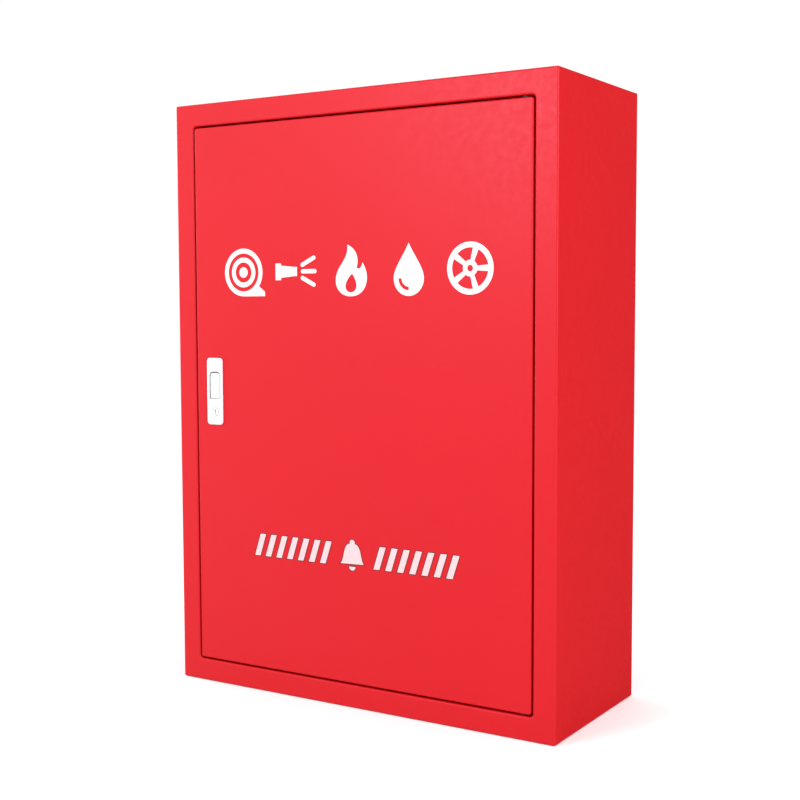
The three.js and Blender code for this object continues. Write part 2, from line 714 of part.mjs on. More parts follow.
// ---------------------------------------------------------------- the stored nozzle
const nozzleY = backInner - couplingRadius - 8;
const clipGauge = 1.5;
const atNozzle = (geometry) => geometry.translate(nozzleX, nozzleY, nozzleBottom);

function buildNozzle() {
  const collar = turnedRing([
    [31, 0], [36, 0], [couplingRadius - 3, 0], [couplingRadius, 3], [couplingRadius, 20],
    [38, 26], [29.3, 26], [29.3, 12], [31, 12],
  ]);
  const lugs = [0, 1].map((k) => {
    const reach = couplingRadius + 4;
    return block(k ? 40 : -reach, k ? reach : -40, -8, 8, 3, 18);
  });
  add("nozzle_coupling", atNozzle(join(collar, ...lugs)), aluminium);
  const bore = nozzleTipBore;
  const tipFoot = nozzleLength - 30;
  const barrel = turnedRing([
    [24, 12], [29, 12], [29, 34], [nozzleRadius + 3, 50], [nozzleRadius, 80],
    [nozzleRadius, tipFoot - 60], [16, tipFoot], [bore, tipFoot], [18, tipFoot - 80], [19, 70],
    [24, 40],
  ]);
  add("nozzle_barrel", atNozzle(barrel), aluminium);
  const tip = turned([
    [0, tipFoot + fitGap], [19, tipFoot + fitGap], [19, nozzleLength - 6], [16, nozzleLength],
    [0, nozzleLength],
  ], 8);
  const tipBore = rod(bore, [0, 0, tipFoot - 5], [0, 0, nozzleLength + 5]);
  add("nozzle_tip", atNozzle(cut(tip, tipBore)), brass);

  // Spring clips that grip the barrel from the back panel.
  for (const [end, z] of [["lower", 105], ["upper", 195]]) {
    const grip = nozzleRadius + fitGap;
    const mouth = 0.95; // half angle that the clip leaves open, in radians
    const arc = new THREE.Shape();
    const start = -Math.PI / 2 + mouth;
    const stop = 1.5 * Math.PI - mouth;
    arc.absarc(0, 0, grip + clipGauge, start, stop);
    arc.absarc(0, 0, grip, stop, start, true);
    const hoop = new THREE.ExtrudeGeometry(arc, { depth: 20, bevelEnabled: false, curveSegments: 12 });
    const rear = backInner - nozzleY - fitGap;
    const stem = block(-8, 8, grip + 0.5, rear, 0, 20);
    const foot = block(-18, 18, rear - 2, rear, 0, 20);
    const clip = join(hoop, stem, foot);
    add(`nozzle_clip_${end}`, atNozzle(clip.translate(0, 0, z)), zincPlate);
  }
}

// ---------------------------------------------------------------- the door's markings
const markThick = 0.3;
const markUpper = 570; // height of the upper band's middle
const markLower = 202;
const bandHeight = 66;
const bandSpan = 415;
const smallHeight = 42;
const smallSpan = 322;

// The printed areas of the door: a thin skin of ink over each.
function buildMarkings() {
  const inkBack = front - 0.05;
  const printed = (span, tall, corner) =>
    plate(roundedRect(span, tall, corner), inkBack - markThick, inkBack);
  add("mark_upper", printed(bandSpan, bandHeight, 4).translate(0, 0, markUpper), ink);
  add("mark_lower", printed(smallSpan, smallHeight, 4).translate(0, 0, markLower), ink);
}

buildBox();
buildHinge("top", height - border, 1);
buildHinge("bottom", border, -1);
buildDoorStop("upper", lockMiddle + 200);
buildDoorStop("lower", lockMiddle - 200);
buildDoor();
buildLock();
buildPipeEntry();
buildValve();
buildRack();
buildNozzle();
buildMarkings();

export default cabinet;
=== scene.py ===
# %% [markdown]
# # A fire hydrant (standpipe) cabinet
# The cabinet is a folded and welded box of 1.5 mm steel with a powder coat, a flush door on
# concealed pivots, and behind the door an angle valve, a hose rack and a stored nozzle.
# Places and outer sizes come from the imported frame. Profiles and edge radii are in millimetres.

# %% Frame, units and small helpers
import math

import bmesh
import bpy
from mathutils import Matrix, Vector


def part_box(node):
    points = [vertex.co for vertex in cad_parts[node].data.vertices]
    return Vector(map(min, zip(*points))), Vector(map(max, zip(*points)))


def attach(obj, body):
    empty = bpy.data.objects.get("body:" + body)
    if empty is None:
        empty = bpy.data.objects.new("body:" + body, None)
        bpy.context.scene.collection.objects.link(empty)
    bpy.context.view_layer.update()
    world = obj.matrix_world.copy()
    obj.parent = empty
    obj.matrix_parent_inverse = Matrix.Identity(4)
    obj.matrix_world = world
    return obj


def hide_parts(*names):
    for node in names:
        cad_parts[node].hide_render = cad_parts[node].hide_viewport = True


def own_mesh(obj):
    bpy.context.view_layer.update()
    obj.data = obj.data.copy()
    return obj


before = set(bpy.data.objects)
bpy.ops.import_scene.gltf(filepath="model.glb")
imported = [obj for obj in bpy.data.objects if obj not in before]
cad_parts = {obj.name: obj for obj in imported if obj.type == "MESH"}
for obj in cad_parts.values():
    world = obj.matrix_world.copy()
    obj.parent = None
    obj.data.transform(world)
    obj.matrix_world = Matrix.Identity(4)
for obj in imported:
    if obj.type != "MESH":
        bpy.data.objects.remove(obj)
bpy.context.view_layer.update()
MM = 0.001
TURNS = 96  # segments round a turned piece
SAME_POINT = 1e-6  # vertices closer than this are merged


def low(node):
    return Vector(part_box(node)[0])


def high(node):
    return Vector(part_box(node)[1])


def centre(node):
    return (low(node) + high(node)) / 2


# %% [markdown]
# ## Camera
# The camera stands to the right and a little above the middle, about 1.8 m away, with a short
# telephoto lens. It is set from its place and three turns, so the view can be checked by hand.

# %% Camera
CAMERA_PLACE = Vector((0.942, -1.512, 0.527))
CAMERA_YAW, CAMERA_PITCH, CAMERA_ROLL = 31.94, -4.19, 0.18
camera_data = bpy.data.cameras.new("studio_camera")
camera_data.lens = 58.95
camera_data.sensor_width = 36.0
camera = bpy.data.objects.new("studio_camera", camera_data)
bpy.context.scene.collection.objects.link(camera)
turn = (
    Matrix.Rotation(math.radians(CAMERA_YAW), 4, "Z")
    @ Matrix.Rotation(math.radians(90 + CAMERA_PITCH), 4, "X")
    @ Matrix.Rotation(math.radians(-CAMERA_ROLL), 4, "Z")
)
camera.matrix_world = Matrix.Translation(CAMERA_PLACE) @ turn
bpy.context.scene.camera = camera
print("camera at", tuple(round(c, 3) for c in CAMERA_PLACE), "lens", camera_data.lens)

# %% [markdown]
# ## Materials
# Each finish is a small node tree. One helper adds a node and wires it up; another turns the
# sRGB hex colours that a painter would quote into the linear values that a shader wants.


# %% Material helpers
def linear(hex_colour, alpha=1.0):
    channels = [int(hex_colour[i : i + 2], 16) / 255 for i in (1, 3, 5)]
    straight = [c / 12.92 if c <= 0.04045 else ((c + 0.055) / 1.055) ** 2.4 for c in channels]
    return (*straight, alpha)


def put(tree, kind, inputs=None, **settings):
    """Add a node; inputs maps a socket to a value or to another node's output."""
    made = tree.nodes.new(kind)
    for name, value in settings.items():
        setattr(made, name, value)
    for key, value in (inputs or {}).items():
        if isinstance(value, bpy.types.NodeSocket):
            tree.links.new(value, made.inputs[key])
        else:
            made.inputs[key].default_value = value
    return made


def new_finish(name, **constants):
    """A material with a Principled shader, its constants on the shader's own sockets."""
    material = bpy.data.materials.new(name)
    material.use_nodes = True
    tree = material.node_tree
    tree.nodes.clear()
    shader = put(tree, "ShaderNodeBsdfPrincipled")
    for key, value in constants.items():
        shader.inputs[key.replace("_", " ")].default_value = value
    output = put(tree, "ShaderNodeOutputMaterial")
    tree.links.new(shader.outputs["BSDF"], output.inputs["Surface"])
    return material, tree, shader


def grain(tree, size_mm, detail=3.0, stretch=(1, 1, 1)):
    """Noise on Object coordinates whose blobs are about size_mm across."""
    where = put(tree, "ShaderNodeTexCoord").outputs["Object"]
    mapped = put(tree, "ShaderNodeMapping", {"Vector": where, "Scale": stretch})
    inputs = {"Vector": mapped.outputs["Vector"], "Scale": 1.0 / (size_mm * MM), "Detail": detail}
    return put(tree, "ShaderNodeTexNoise", inputs).outputs["Fac"]


def spread(tree, source, to_low, to_high, from_low=0.3, from_high=0.7):
    """Stretch a part of a pattern's range to a range of values."""
    inputs = {"Value": source, "From Min": from_low, "From Max": from_high}
    inputs |= {"To Min": to_low, "To Max": to_high}
    return put(tree, "ShaderNodeMapRange", inputs).outputs["Result"]


def tint(tree, source, dark, light):
    """Blend two hex colours by a 0..1 pattern."""
    mix = put(tree, "ShaderNodeMix", data_type="RGBA")
    tree.links.new(source, mix.inputs["Factor"])
    mix.inputs[6].default_value = linear(dark)
    mix.inputs[7].default_value = linear(light)
    return mix.outputs[2]


def relief(tree, source, depth_mm, strength=1.0, under=None):
    """A bump of a real depth, on top of another if given."""
    inputs = {"Height": source, "Distance": depth_mm * MM, "Strength": strength}
    if under is not None:
        inputs["Normal"] = under
    return put(tree, "ShaderNodeBump", inputs).outputs["Normal"]


def wire(tree, shader, **sources):
    for key, source in sources.items():
        tree.links.new(source, shader.inputs[key.replace("_", " ")])


# %% [markdown]
# ### Powder coat, semi-gloss red
# Polyester powder is sprayed dry and baked until it flows. It keeps a shallow orange peel, a few
# millimetres from crest to crest, which breaks up reflections. The sheet below is never quite
# flat either, so a second, far broader relief bends the light across the whole door.


# %% Powder coat
def powder_coat(name, base, deep):
    material, tree, shader = new_finish(name, Metallic=0.0, IOR=1.5, Specular_IOR_Level=0.34)
    drift = grain(tree, 160, detail=2)
    shader.inputs["Specular Tint"].default_value = (0.95, 0.78, 1.0, 1.0)
    wire(tree, shader, Base_Color=tint(tree, drift, deep, base))
    satin = grain(tree, 9, detail=4)
    wire(tree, shader, Roughness=spread(tree, satin, 0.38, 0.46))
    sheet = relief(tree, grain(tree, 260, detail=1), 0.8, 0.25)
    peel = relief(tree, grain(tree, 3.2, detail=2), 0.05, 0.22, under=sheet)
    wire(tree, shader, Normal=peel)
    return material


red_coat = powder_coat("powder_coat_red", "#C3060E", "#BE050C")


# %% [markdown]
# ### Enamel on rough castings
# The valve and its wheel are sand cast and dipped in enamel: the sand leaves a pebbled skin.


# %% Enamelled casting
def enamelled_casting(name, base, deep):
    material, tree, shader = new_finish(name, Metallic=0.0, IOR=1.5)
    patches = grain(tree, 22, detail=3)
    wire(tree, shader, Base_Color=tint(tree, patches, deep, base))
    wire(tree, shader, Roughness=spread(tree, grain(tree, 6, detail=4), 0.34, 0.52))
    sand = relief(tree, grain(tree, 1.6, detail=3), 0.22, 0.6)
    wire(tree, shader, Normal=relief(tree, grain(tree, 14, detail=2), 0.5, 0.5, under=sand))
    return material


red_enamel = enamelled_casting("enamel_on_cast_iron", "#C8141C", "#A80E14")


# %% [markdown]
# ### Bare and plated metals
# The lock is a zinc die casting with satin chrome, the small steel pieces are zinc plated, the
# couplings are cast aluminium turned on their seats, and the valve's spindle is brass. They
# share a recipe: a patched base, a roughness pattern, and a fine relief from the tool or mould.
# Satin chrome scatters most of the room's light, so it is set only half metallic.


# %% Metals
def marked(name, base, deep, rough, mark_mm, depth_mm, patch=(18, 3), stretch=(1, 1, 1), **constants):
    """A patched base colour, and marks that drive both the roughness and the relief."""
    material, tree, shader = new_finish(name, **constants)
    wire(tree, shader, Base_Color=tint(tree, grain(tree, *patch), deep, base))
    marks = grain(tree, mark_mm, detail=3, stretch=stretch)
    wire(tree, shader, Roughness=spread(tree, marks, *rough))
    wire(tree, shader, Normal=relief(tree, marks, depth_mm, 0.5))
    return material


def metal(name, *recipe, metallic=1.0, **settings):
    return marked(name, *recipe, Metallic=metallic, **settings)


satin_chrome = metal(
    "satin_chrome_on_zinc", "#F6F6F7", "#EEEEF0", (0.30, 0.40), 0.9, 0.012, metallic=0.5
)
zinc_plate = metal("zinc_plated_steel", "#C9CCD2", "#B2B6BC", (0.30, 0.46), 2.0, 0.03)
cast_aluminium = metal(
    "turned_cast_aluminium", "#C6C8CA", "#ADB0B3", (0.30, 0.44), 1.2, 0.05, stretch=(1, 1, 6)
)
spindle_brass = metal(
    "machined_brass", "#D8B25A", "#B78E3C", (0.22, 0.36), 0.9, 0.03, stretch=(1, 1, 5)
)
spring_steel = metal("oiled_spring_steel", "#8E9094", "#6B6E73", (0.28, 0.42), 1.0, 0.02)


# %% [markdown]
# ### Rubber, nylon and printing ink
# The seals are moulded rubber with a matt bloom, and the bushes black nylon. The markings are
# screen ink: white above, and below a thinner coat that the red shines through, with a dark key
# line. None of them is one flat colour: bloom, flow marks and the screen's mesh all show.


# %% Polymers and ink
def moulded(name, *recipe, **constants):
    return marked(name, *recipe, patch=(12, 4), Metallic=0.0, **constants)


black_rubber = moulded("moulded_rubber", "#26262A", "#19191B", (0.62, 0.82), 0.9, 0.06, IOR=1.52)
black_nylon = moulded("black_nylon", "#141415", "#0E0E0F", (0.55, 0.7), 1.4, 0.03, IOR=1.53)
white_ink = moulded("white_screen_ink", "#E6DCDD", "#E0D4D6", (0.38, 0.50), 1.0, 0.012, IOR=1.5)
rosy_ink = moulded("rosy_screen_ink", "#DBBDC0", "#D5B4B8", (0.38, 0.50), 1.0, 0.012, IOR=1.5)
key_line_ink = moulded("dark_key_line_ink", "#5A0A0E", "#4A070A", (0.40, 0.52), 1.0, 0.012, IOR=1.5)
print("materials:", len(bpy.data.materials))

# %% [markdown]
# ## Mesh helpers
# A folded panel and a moulded plate are both a stack of rounded rectangles; a turned piece is a
# profile spun about an axis; a milled piece is a CAD solid with its edges broken. These three
# ways cover nearly everything here.


# %% Mesh helpers
def new_object(name, mesh):
    obj = bpy.data.objects.new(name, mesh)
    bpy.context.scene.collection.objects.link(obj)
    return obj


def from_bmesh(name, bm, recalculate=True):
    if recalculate:
        bmesh.ops.recalc_face_normals(bm, faces=bm.faces)
    mesh = bpy.data.meshes.new(name)
    bm.to_mesh(mesh)
    bm.free()
    return new_object(name, mesh)


def soften(obj, angle=35):
    """Smooth shading that keeps real corners sharp and leaves flat faces flat."""
    obj.data.shade_smooth()
    obj.data.set_sharp_from_angle(angle=math.radians(angle))
    step = obj.modifiers.new("flat_faces", "WEIGHTED_NORMAL")
    step.keep_sharp = True
    step.weight = 60
    applied(obj)


def applied(obj):
    """Turn an object's modifiers into a plain mesh."""
    graph = bpy.context.evaluated_depsgraph_get()
    graph.update()
    mesh = bpy.data.meshes.new_from_object(obj.evaluated_get(graph))
    obj.modifiers.clear()
    old = obj.data
    obj.data = mesh
    bpy.data.meshes.remove(old)
    mesh.name = obj.name
    return obj


def combined(obj, operation, tools):
    for tool in tools:
        step = obj.modifiers.new(operation.lower(), "BOOLEAN")
        step.operation = operation
        step.solver = "EXACT"
        step.object = tool
    applied(obj)
    for tool in tools:
        bpy.data.objects.remove(tool)
    return obj


def cut_from(obj, *tools):
    return combined(obj, "DIFFERENCE", tools)


def join_with(obj, *others):
    return combined(obj, "UNION", others)


def break_edges(obj, width_mm, segments=2, angle=30):
    step = obj.modifiers.new("broken_edges", "BEVEL")
    step.width = width_mm * MM
    step.segments = segments
    step.limit_method = "ANGLE"
    step.angle_limit = math.radians(angle)
    step.use_clamp_overlap = True
    return applied(obj)


def done(obj, material, body, slot, *nodes, angle=35):
    """Give a piece its finish and hand it to the frame."""
    soften(obj, angle)
    obj.data.materials.clear()
    obj.data.materials.append(material)
    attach(obj, body)
    if nodes:
        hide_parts(*nodes)
    print(f"{obj.name}: {len(obj.data.polygons)} faces on {body}")
    return obj


def rounded_loop(cx, cz, half_w, half_h, radius, y, steps=6):
    """Points of an upright rounded rectangle, anticlockwise seen from the front."""
    points = []
    for sx, sz, start in ((1, -1, -90), (1, 1, 0), (-1, 1, 90), (-1, -1, 180)):
        for k in range(steps + 1):
            a = math.radians(start + 90 * k / steps)
            x = cx + sx * (half_w - radius) + radius * math.cos(a)
            z = cz + sz * (half_h - radius) + radius * math.sin(a)
            points.append((x, y, z))
    return points


def loft(name, loops, closed=False, cap_start=False, cap_end=False):
    """Skin a stack of loops with the same number of points."""
    bm = bmesh.new()
    rows = [[bm.verts.new(p) for p in loop] for loop in loops]
    count = len(rows[0])
    pairs = list(zip(rows, rows[1:]))
    if closed:
        pairs.append((rows[-1], rows[0]))
    for first, second in pairs:
        for i in range(count):
            j = (i + 1) % count
            bm.faces.new((first[i], first[j], second[j], second[i]))
    if cap_start:
        bm.faces.new(rows[0])
    if cap_end:
        bm.faces.new(list(reversed(rows[-1])))
    return from_bmesh(name, bm)


def arc(cu, cv, radius, start, stop, steps=5):
    """Points on an arc in the section plane, in degrees."""
    turns = [math.radians(start + (stop - start) * k / steps) for k in range(steps + 1)]
    return [(cu + radius * math.cos(a), cv + radius * math.sin(a)) for a in turns]


def block(name, corner_a, corner_b):
    """A plain box, used only as a cutting or joining tool."""
    bm = bmesh.new()
    bmesh.ops.create_cube(bm, size=1.0)
    a, b = Vector(corner_a), Vector(corner_b)
    bmesh.ops.scale(bm, vec=b - a, verts=bm.verts)
    bmesh.ops.translate(bm, vec=(a + b) / 2, verts=bm.verts)
    return from_bmesh(name, bm)


AXES = {
    "Z": Matrix.Identity(4),
    "-Y": Matrix.Rotation(math.radians(90), 4, "X"),
    "X": Matrix.Rotation(math.radians(90), 4, "Y"),
}


def spun(name, profile, place, axis="Z", segments=TURNS, closed=True):
    """Spin [radius, height] points, in millimetres, about an axis through place."""
    bm = bmesh.new()
    rows = []
    for r, h in profile:
        turns = [2 * math.pi * k / segments for k in range(segments if r > 0 else 1)]
        rows.append([bm.verts.new((r * MM * math.cos(a), r * MM * math.sin(a), h * MM)) for a in turns])
    pairs = list(zip(rows, rows[1:]))
    if closed and profile[0][0] > 0:
        pairs.append((rows[-1], rows[0]))
    for first, second in pairs:
        for k in range(segments):
            n = (k + 1) % segments
            ring = [first[k % len(first)], first[n % len(first)]]
            ring += [second[n % len(second)], second[k % len(second)]]
            bm.faces.new(list(dict.fromkeys(ring)))
    bmesh.ops.transform(bm, matrix=Matrix.Translation(place) @ AXES[axis], verts=bm.verts)
    return from_bmesh(name, bm)


def rod(radius, start, stop):
    """The profile of a plain cylinder."""
    return [(0, start), (radius, start), (radius, stop), (0, stop)]


def rounded(points, radius=1.0, steps=3):
    """Round the corners of a profile of [radius, height] points, except on the axis."""
    out = []
    count = len(points)
    for i, here in enumerate(points):
        before, after = points[i - 1], points[(i + 1) % count]
        p, a, b = Vector(here), Vector(before), Vector(after)
        into, away = a - p, b - p
        if here[0] <= 0 or min(into.length, away.length) < 1e-6:
            out.append(tuple(here))
            continue
        reach = min(radius, into.length / 2.1, away.length / 2.1)
        start, stop = p + into.normalized() * reach, p + away.normalized() * reach
        for k in range(steps + 1):
            t = k / steps
            q = start * (1 - t) ** 2 + p * 2 * t * (1 - t) + stop * t**2
            out.append((q.x, q.y))
    return out


def milled(node, name, width_mm=0.4, segments=2):
    """A CAD node's solid, cleaned to flat faces and with its edges broken."""
    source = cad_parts[node]
    bm = bmesh.new()
    bm.from_mesh(source.data)
    bmesh.ops.remove_doubles(bm, verts=bm.verts, dist=SAME_POINT)
    bmesh.ops.dissolve_limit(bm, angle_limit=math.radians(1), verts=bm.verts, edges=bm.edges)
    obj = from_bmesh(name, bm, recalculate=False)
    return break_edges(obj, width_mm, segments)


def from_curve(name, curve, place):
    """A curve's surface as a mesh object, moved by place."""
    drawn = new_object(name + "_curve", curve)
    mesh = bpy.data.meshes.new_from_object(drawn)
    bpy.data.objects.remove(drawn)
    mesh.transform(place)
    bm = bmesh.new()
    bm.from_mesh(mesh)
    bmesh.ops.remove_doubles(bm, verts=bm.verts, dist=SAME_POINT)
    return from_bmesh(name, bm)


# %% [markdown]
# ## The box
# The real box is folded from sheet: each side turns the corner into a 30 mm border, and the
# border turns in again beside the door. A stack of rounded rectangles follows that section all
# the way round in one skin, so the folds keep their radius and catch the light, and the welded
# and ground corners stay seamless.

# %% Box shell
SHEET = 1.5 * MM
FOLD = 2.5 * MM
left_x, right_x = low("left_panel").x, high("right_panel").x
front_y = low("left_panel").y
floor_z, top_z = low("back_panel").z, high("back_panel").z
half_w, half_h = (right_x - left_x) / 2, (top_z - floor_z) / 2
mid_z = (top_z + floor_z) / 2
BORDER = high("left_panel").x - left_x
LIP = 15 * MM  # how far the border turns in beside the door
shell_depth = low("back_panel").y - front_y
OPENING_ROUND = 5 * MM  # corner radius of the door opening


def box_loop(u, v):
    if u <= FOLD:
        radius = max(FOLD - u, 0.3 * MM)
    else:
        radius = max(OPENING_ROUND + (BORDER - u), 0.3 * MM) if u > BORDER - 2 * FOLD else 0.4 * MM
    return rounded_loop(0, mid_z, half_w - u, half_h - u, radius, front_y + v)


inner = FOLD - SHEET
section = [(0, shell_depth), *arc(FOLD, FOLD, FOLD, 180, 270)]
section += [*arc(BORDER - FOLD, FOLD, FOLD, 270, 360), (BORDER, LIP)]
section += [(BORDER - SHEET, LIP), *arc(BORDER - FOLD, FOLD, inner, 360, 270)]
section += [*arc(FOLD, FOLD, inner, 270, 180), (SHEET, shell_depth)]
shell = loft("cabinet_box", [box_loop(u, v) for u, v in section], closed=True)
pipe, spare = centre("inlet_nipple"), centre("spare_entry_plug")
ENTRY_RADIUS = 44
POKE = 5  # how far a drill reaches past a sheet, each way
holes = [
    spun(f"entry_{i}", rod(ENTRY_RADIUS, -POKE, POKE), (p.x, p.y, 0), closed=False)
    for i, p in enumerate((pipe, spare))
]
cut_from(shell, *holes)
done(
    shell, red_coat, "root", "red_powder_coat",
    "left_panel", "right_panel", "top_panel", "bottom_panel", angle=25,
)

# %% [markdown]
# The back is a flat sheet, spot welded to the sides and pierced for four wall fixings.

# %% Back panel
back_low, back_high = low("back_panel"), high("back_panel")
EDGE = 0.4 * MM
back_loops = [
    rounded_loop(0, mid_z, half_w - inset, half_h - inset, 2.0 * MM, y)
    for inset, y in (
        (EDGE, back_low.y + 0.02 * MM), (0, back_low.y + EDGE),
        (0, back_high.y - EDGE), (EDGE, back_high.y),
    )
]
back_panel = loft("back_sheet", back_loops, cap_start=True, cap_end=True)
FIXING_IN = 60 * MM
FIXING_RADIUS = 4.5
fixing_heights = (2 * FIXING_IN, top_z - FIXING_IN)
fixings = [(x, z) for x in (left_x + FIXING_IN, right_x - FIXING_IN) for z in fixing_heights]
drills = [
    spun(f"drill_{i}", rod(FIXING_RADIUS, -POKE, POKE), (x, back_low.y, z), "-Y", 32, False)
    for i, (x, z) in enumerate(fixings)
]
cut_from(back_panel, *drills)
done(back_panel, red_coat, "root", "red_powder_coat", "back_panel")

# %% [markdown]
# ## The door
# The door is a pan: a flat face with its four edges folded back 20 mm. It is built like the box,
# one skin outside and in, then cut for the lock and for the latch that comes out at its edge.
# Its face is flush with the border, with an even groove all round.

# %% Door pan
door_low, door_high = low("door_panel"), high("door_panel")
door_mid = centre("door_panel")
door_half_w, door_half_h = (door_high.x - door_low.x) / 2, (door_high.z - door_low.z) / 2
door_depth = door_high.y - door_low.y
DOOR_FOLD = 2.2 * MM
DOOR_ROUND = 3.5 * MM


def door_loop(u, v):
    radius = max(DOOR_ROUND - u, 0.6 * MM)
    half = (door_half_w - u, door_half_h - u)
    return rounded_loop(door_mid.x, door_mid.z, *half, radius, door_low.y + v)


fold_in = DOOR_FOLD - SHEET
pan_section = [*reversed(arc(DOOR_FOLD, DOOR_FOLD, DOOR_FOLD, 180, 270)), (0, door_depth)]
pan_section += [(SHEET, door_depth), *arc(DOOR_FOLD, DOOR_FOLD, fold_in, 180, 270)]
door = loft("door_pan", [door_loop(u, v) for u, v in pan_section], cap_start=True, cap_end=True)
lock_low, lock_high = low("lock_housing"), high("lock_housing")
lock_mid = centre("lock_housing")
key = centre("key_plug")
NOTCH_FRONT, NOTCH_REAR = 13 * MM, 30 * MM  # behind the border's face
NOTCH_FOOT, NOTCH_TOP = 37 * MM, 4.7 * MM  # below the key, and below the paddle's top
notch = block(
    "notch",
    (door_low.x - MM, front_y + NOTCH_FRONT, key.z - NOTCH_FOOT),
    (door_low.x + 3 * MM, front_y + NOTCH_REAR, high("lock_paddle").z - NOTCH_TOP),
)
WINDOW_HALF = (12.5 * MM, 44 * MM)
window_loops = [
    rounded_loop(lock_mid.x, lock_mid.z, *WINDOW_HALF, 3 * MM, front_y + y) for y in (-0.003, 0.003)
]
window = loft("window", window_loops, cap_start=True, cap_end=True)
cut_from(door, notch, window)
done(door, red_coat, "door", "red_powder_coat", "door_panel", angle=25)

# %% Door stiffener
stiffener = milled("door_stiffener", "door_stiffener_rib", 0.8, 3)
done(stiffener, red_coat, "door", "red_powder_coat", "door_stiffener")

# %% [markdown]
# ## The lock
# A die-cast plate stands two millimetres off the door. Its arched recess holds a paddle that
# tips out about a pin at its foot, and the key barrel sits below. Die castings have soft edges,
# so the plate, the recess and the paddle are all stacks of loops that turn over at the face.

# %% Lock shapes
plate_y = lock_low.y
recess_foot = low("lock_paddle").z - 0.5 * MM
recess_top = high("lock_paddle").z + 1.3 * MM
RECESS_HALF, ARCH = 9.75 * MM, 6 * MM
PIN = Vector((lock_mid.x, plate_y + 3 * MM, centre("paddle_pin").z))
PIN_WAY, PIN_SEAT = 1.4, 11.5  # radius and half length of the bore that the pin runs in


def plate_loop(half_w, half_h, radius, y):
    return rounded_loop(lock_mid.x, lock_mid.z, half_w * MM, half_h * MM, radius * MM, y, 10)


def tab_loop(foot, top, half, radius, y, steps=10):
    """Points of a tab with two round top corners, anticlockwise seen from the front."""
    points = [(lock_mid.x - half, y, foot), (lock_mid.x + half, y, foot)]
    for side, start in ((1, 0), (-1, 90)):
        for k in range(steps + 1):
            a = math.radians(start + 90 * k / steps)
            x = side * (half - radius) + radius * math.cos(a)
            points.append((lock_mid.x + x, y, top - radius + radius * math.sin(a)))
    return points


def edge_round(size_mm, steps=4):
    """Inset and depth along a quarter-round edge, from the side to the face."""
    turns = [math.radians(90 * k / steps) for k in range(steps + 1)]
    return [(size_mm * (1 - math.cos(a)), size_mm * (1 - math.sin(a))) for a in turns]


# %% Lock plate and housing
cup_back = lock_high.y
CUP, PLATE = (12, 43.5, 3), (13.5, 46, 5)  # half width, half height and corner radius


def inside(sizes, inset_mm):
    return [size - inset_mm for size in sizes]


PLATE_BACK = front_y - 0.15 * MM
body_loops = [
    plate_loop(*inside(CUP, 0.6), cup_back), plate_loop(*CUP, cup_back - 0.6 * MM),
    plate_loop(*CUP, PLATE_BACK), plate_loop(*inside(PLATE, 0.2), PLATE_BACK),
    plate_loop(*PLATE, PLATE_BACK - 0.2 * MM),
]
body_loops += [
    plate_loop(*inside(PLATE, inset), plate_y + depth * MM) for inset, depth in edge_round(1.0)
]
housing = loft("lock_plate", body_loops, cap_start=True, cap_end=True)
recess_loops = [tab_loop(recess_foot, recess_top, RECESS_HALF, ARCH, cup_back - 2 * MM)]
for out, depth in ((0, 0.6), (0.1, 0.3), (0.3, 0.1), (0.6, 0), (0.9, -1)):
    grown_out = out * MM
    recess_loops.append(
        tab_loop(
            recess_foot - grown_out / 8, recess_top + grown_out, RECESS_HALF + grown_out,
            ARCH + grown_out, plate_y + depth * MM,
        )
    )
recess = loft("recess", recess_loops, cap_start=True, cap_end=True)
seat_profile = [(0, -30), (5.8, -30), (5.8, 0.6), (6.2, 1.1), (6.8, 1.7), (7.2, 2.0), (7.4, 4), (0, 4)]
key_seat = spun("key_seat", seat_profile, (lock_mid.x, front_y, key.z), "-Y", 64, False)
pin_seat = spun("pin_seat", rod(PIN_WAY, -PIN_SEAT, PIN_SEAT), PIN, "X", 24, False)
cut_from(housing, recess, key_seat, pin_seat)
done(housing, satin_chrome, "door", "satin_chrome", "lock_housing")

# %% Paddle
face_y, rear_y = low("lock_paddle").y, high("lock_paddle").y
paddle_half = (high("lock_paddle").x - low("lock_paddle").x) / 2 - 0.5 * MM
paddle_top, knuckle = high("lock_paddle").z - 0.4 * MM, 2.3 * MM
FOOT_ROUND = 1.3 * MM


def paddle_loop(inset_mm, y):
    sunk = min(max(abs(y - PIN.y) - knuckle + FOOT_ROUND, 0), FOOT_ROUND)
    foot = PIN.z - knuckle + FOOT_ROUND - math.sqrt(FOOT_ROUND**2 - sunk**2)
    inset = inset_mm * MM
    return tab_loop(foot, paddle_top - inset, paddle_half - inset, 5 * MM - inset, y)


depths = [rear_y - k * MM for k in (0.0, 0.4, 0.8, 1.2, 1.6, 2.0, 2.4, 2.8)]
paddle_loops = [paddle_loop(0.3 if k == 0 else 0, y) for k, y in enumerate(depths)]
paddle_loops += [paddle_loop(inset, face_y + depth * MM) for inset, depth in edge_round(1.0, 5)]
paddle = loft("lock_paddle_tab", paddle_loops, cap_start=True, cap_end=True)
DISH_DOWN = 1.2 * MM
dish_half_h = (paddle_top - PIN.z) / 2 - DISH_DOWN
dish_mid = (paddle_top + PIN.z) / 2 - DISH_DOWN
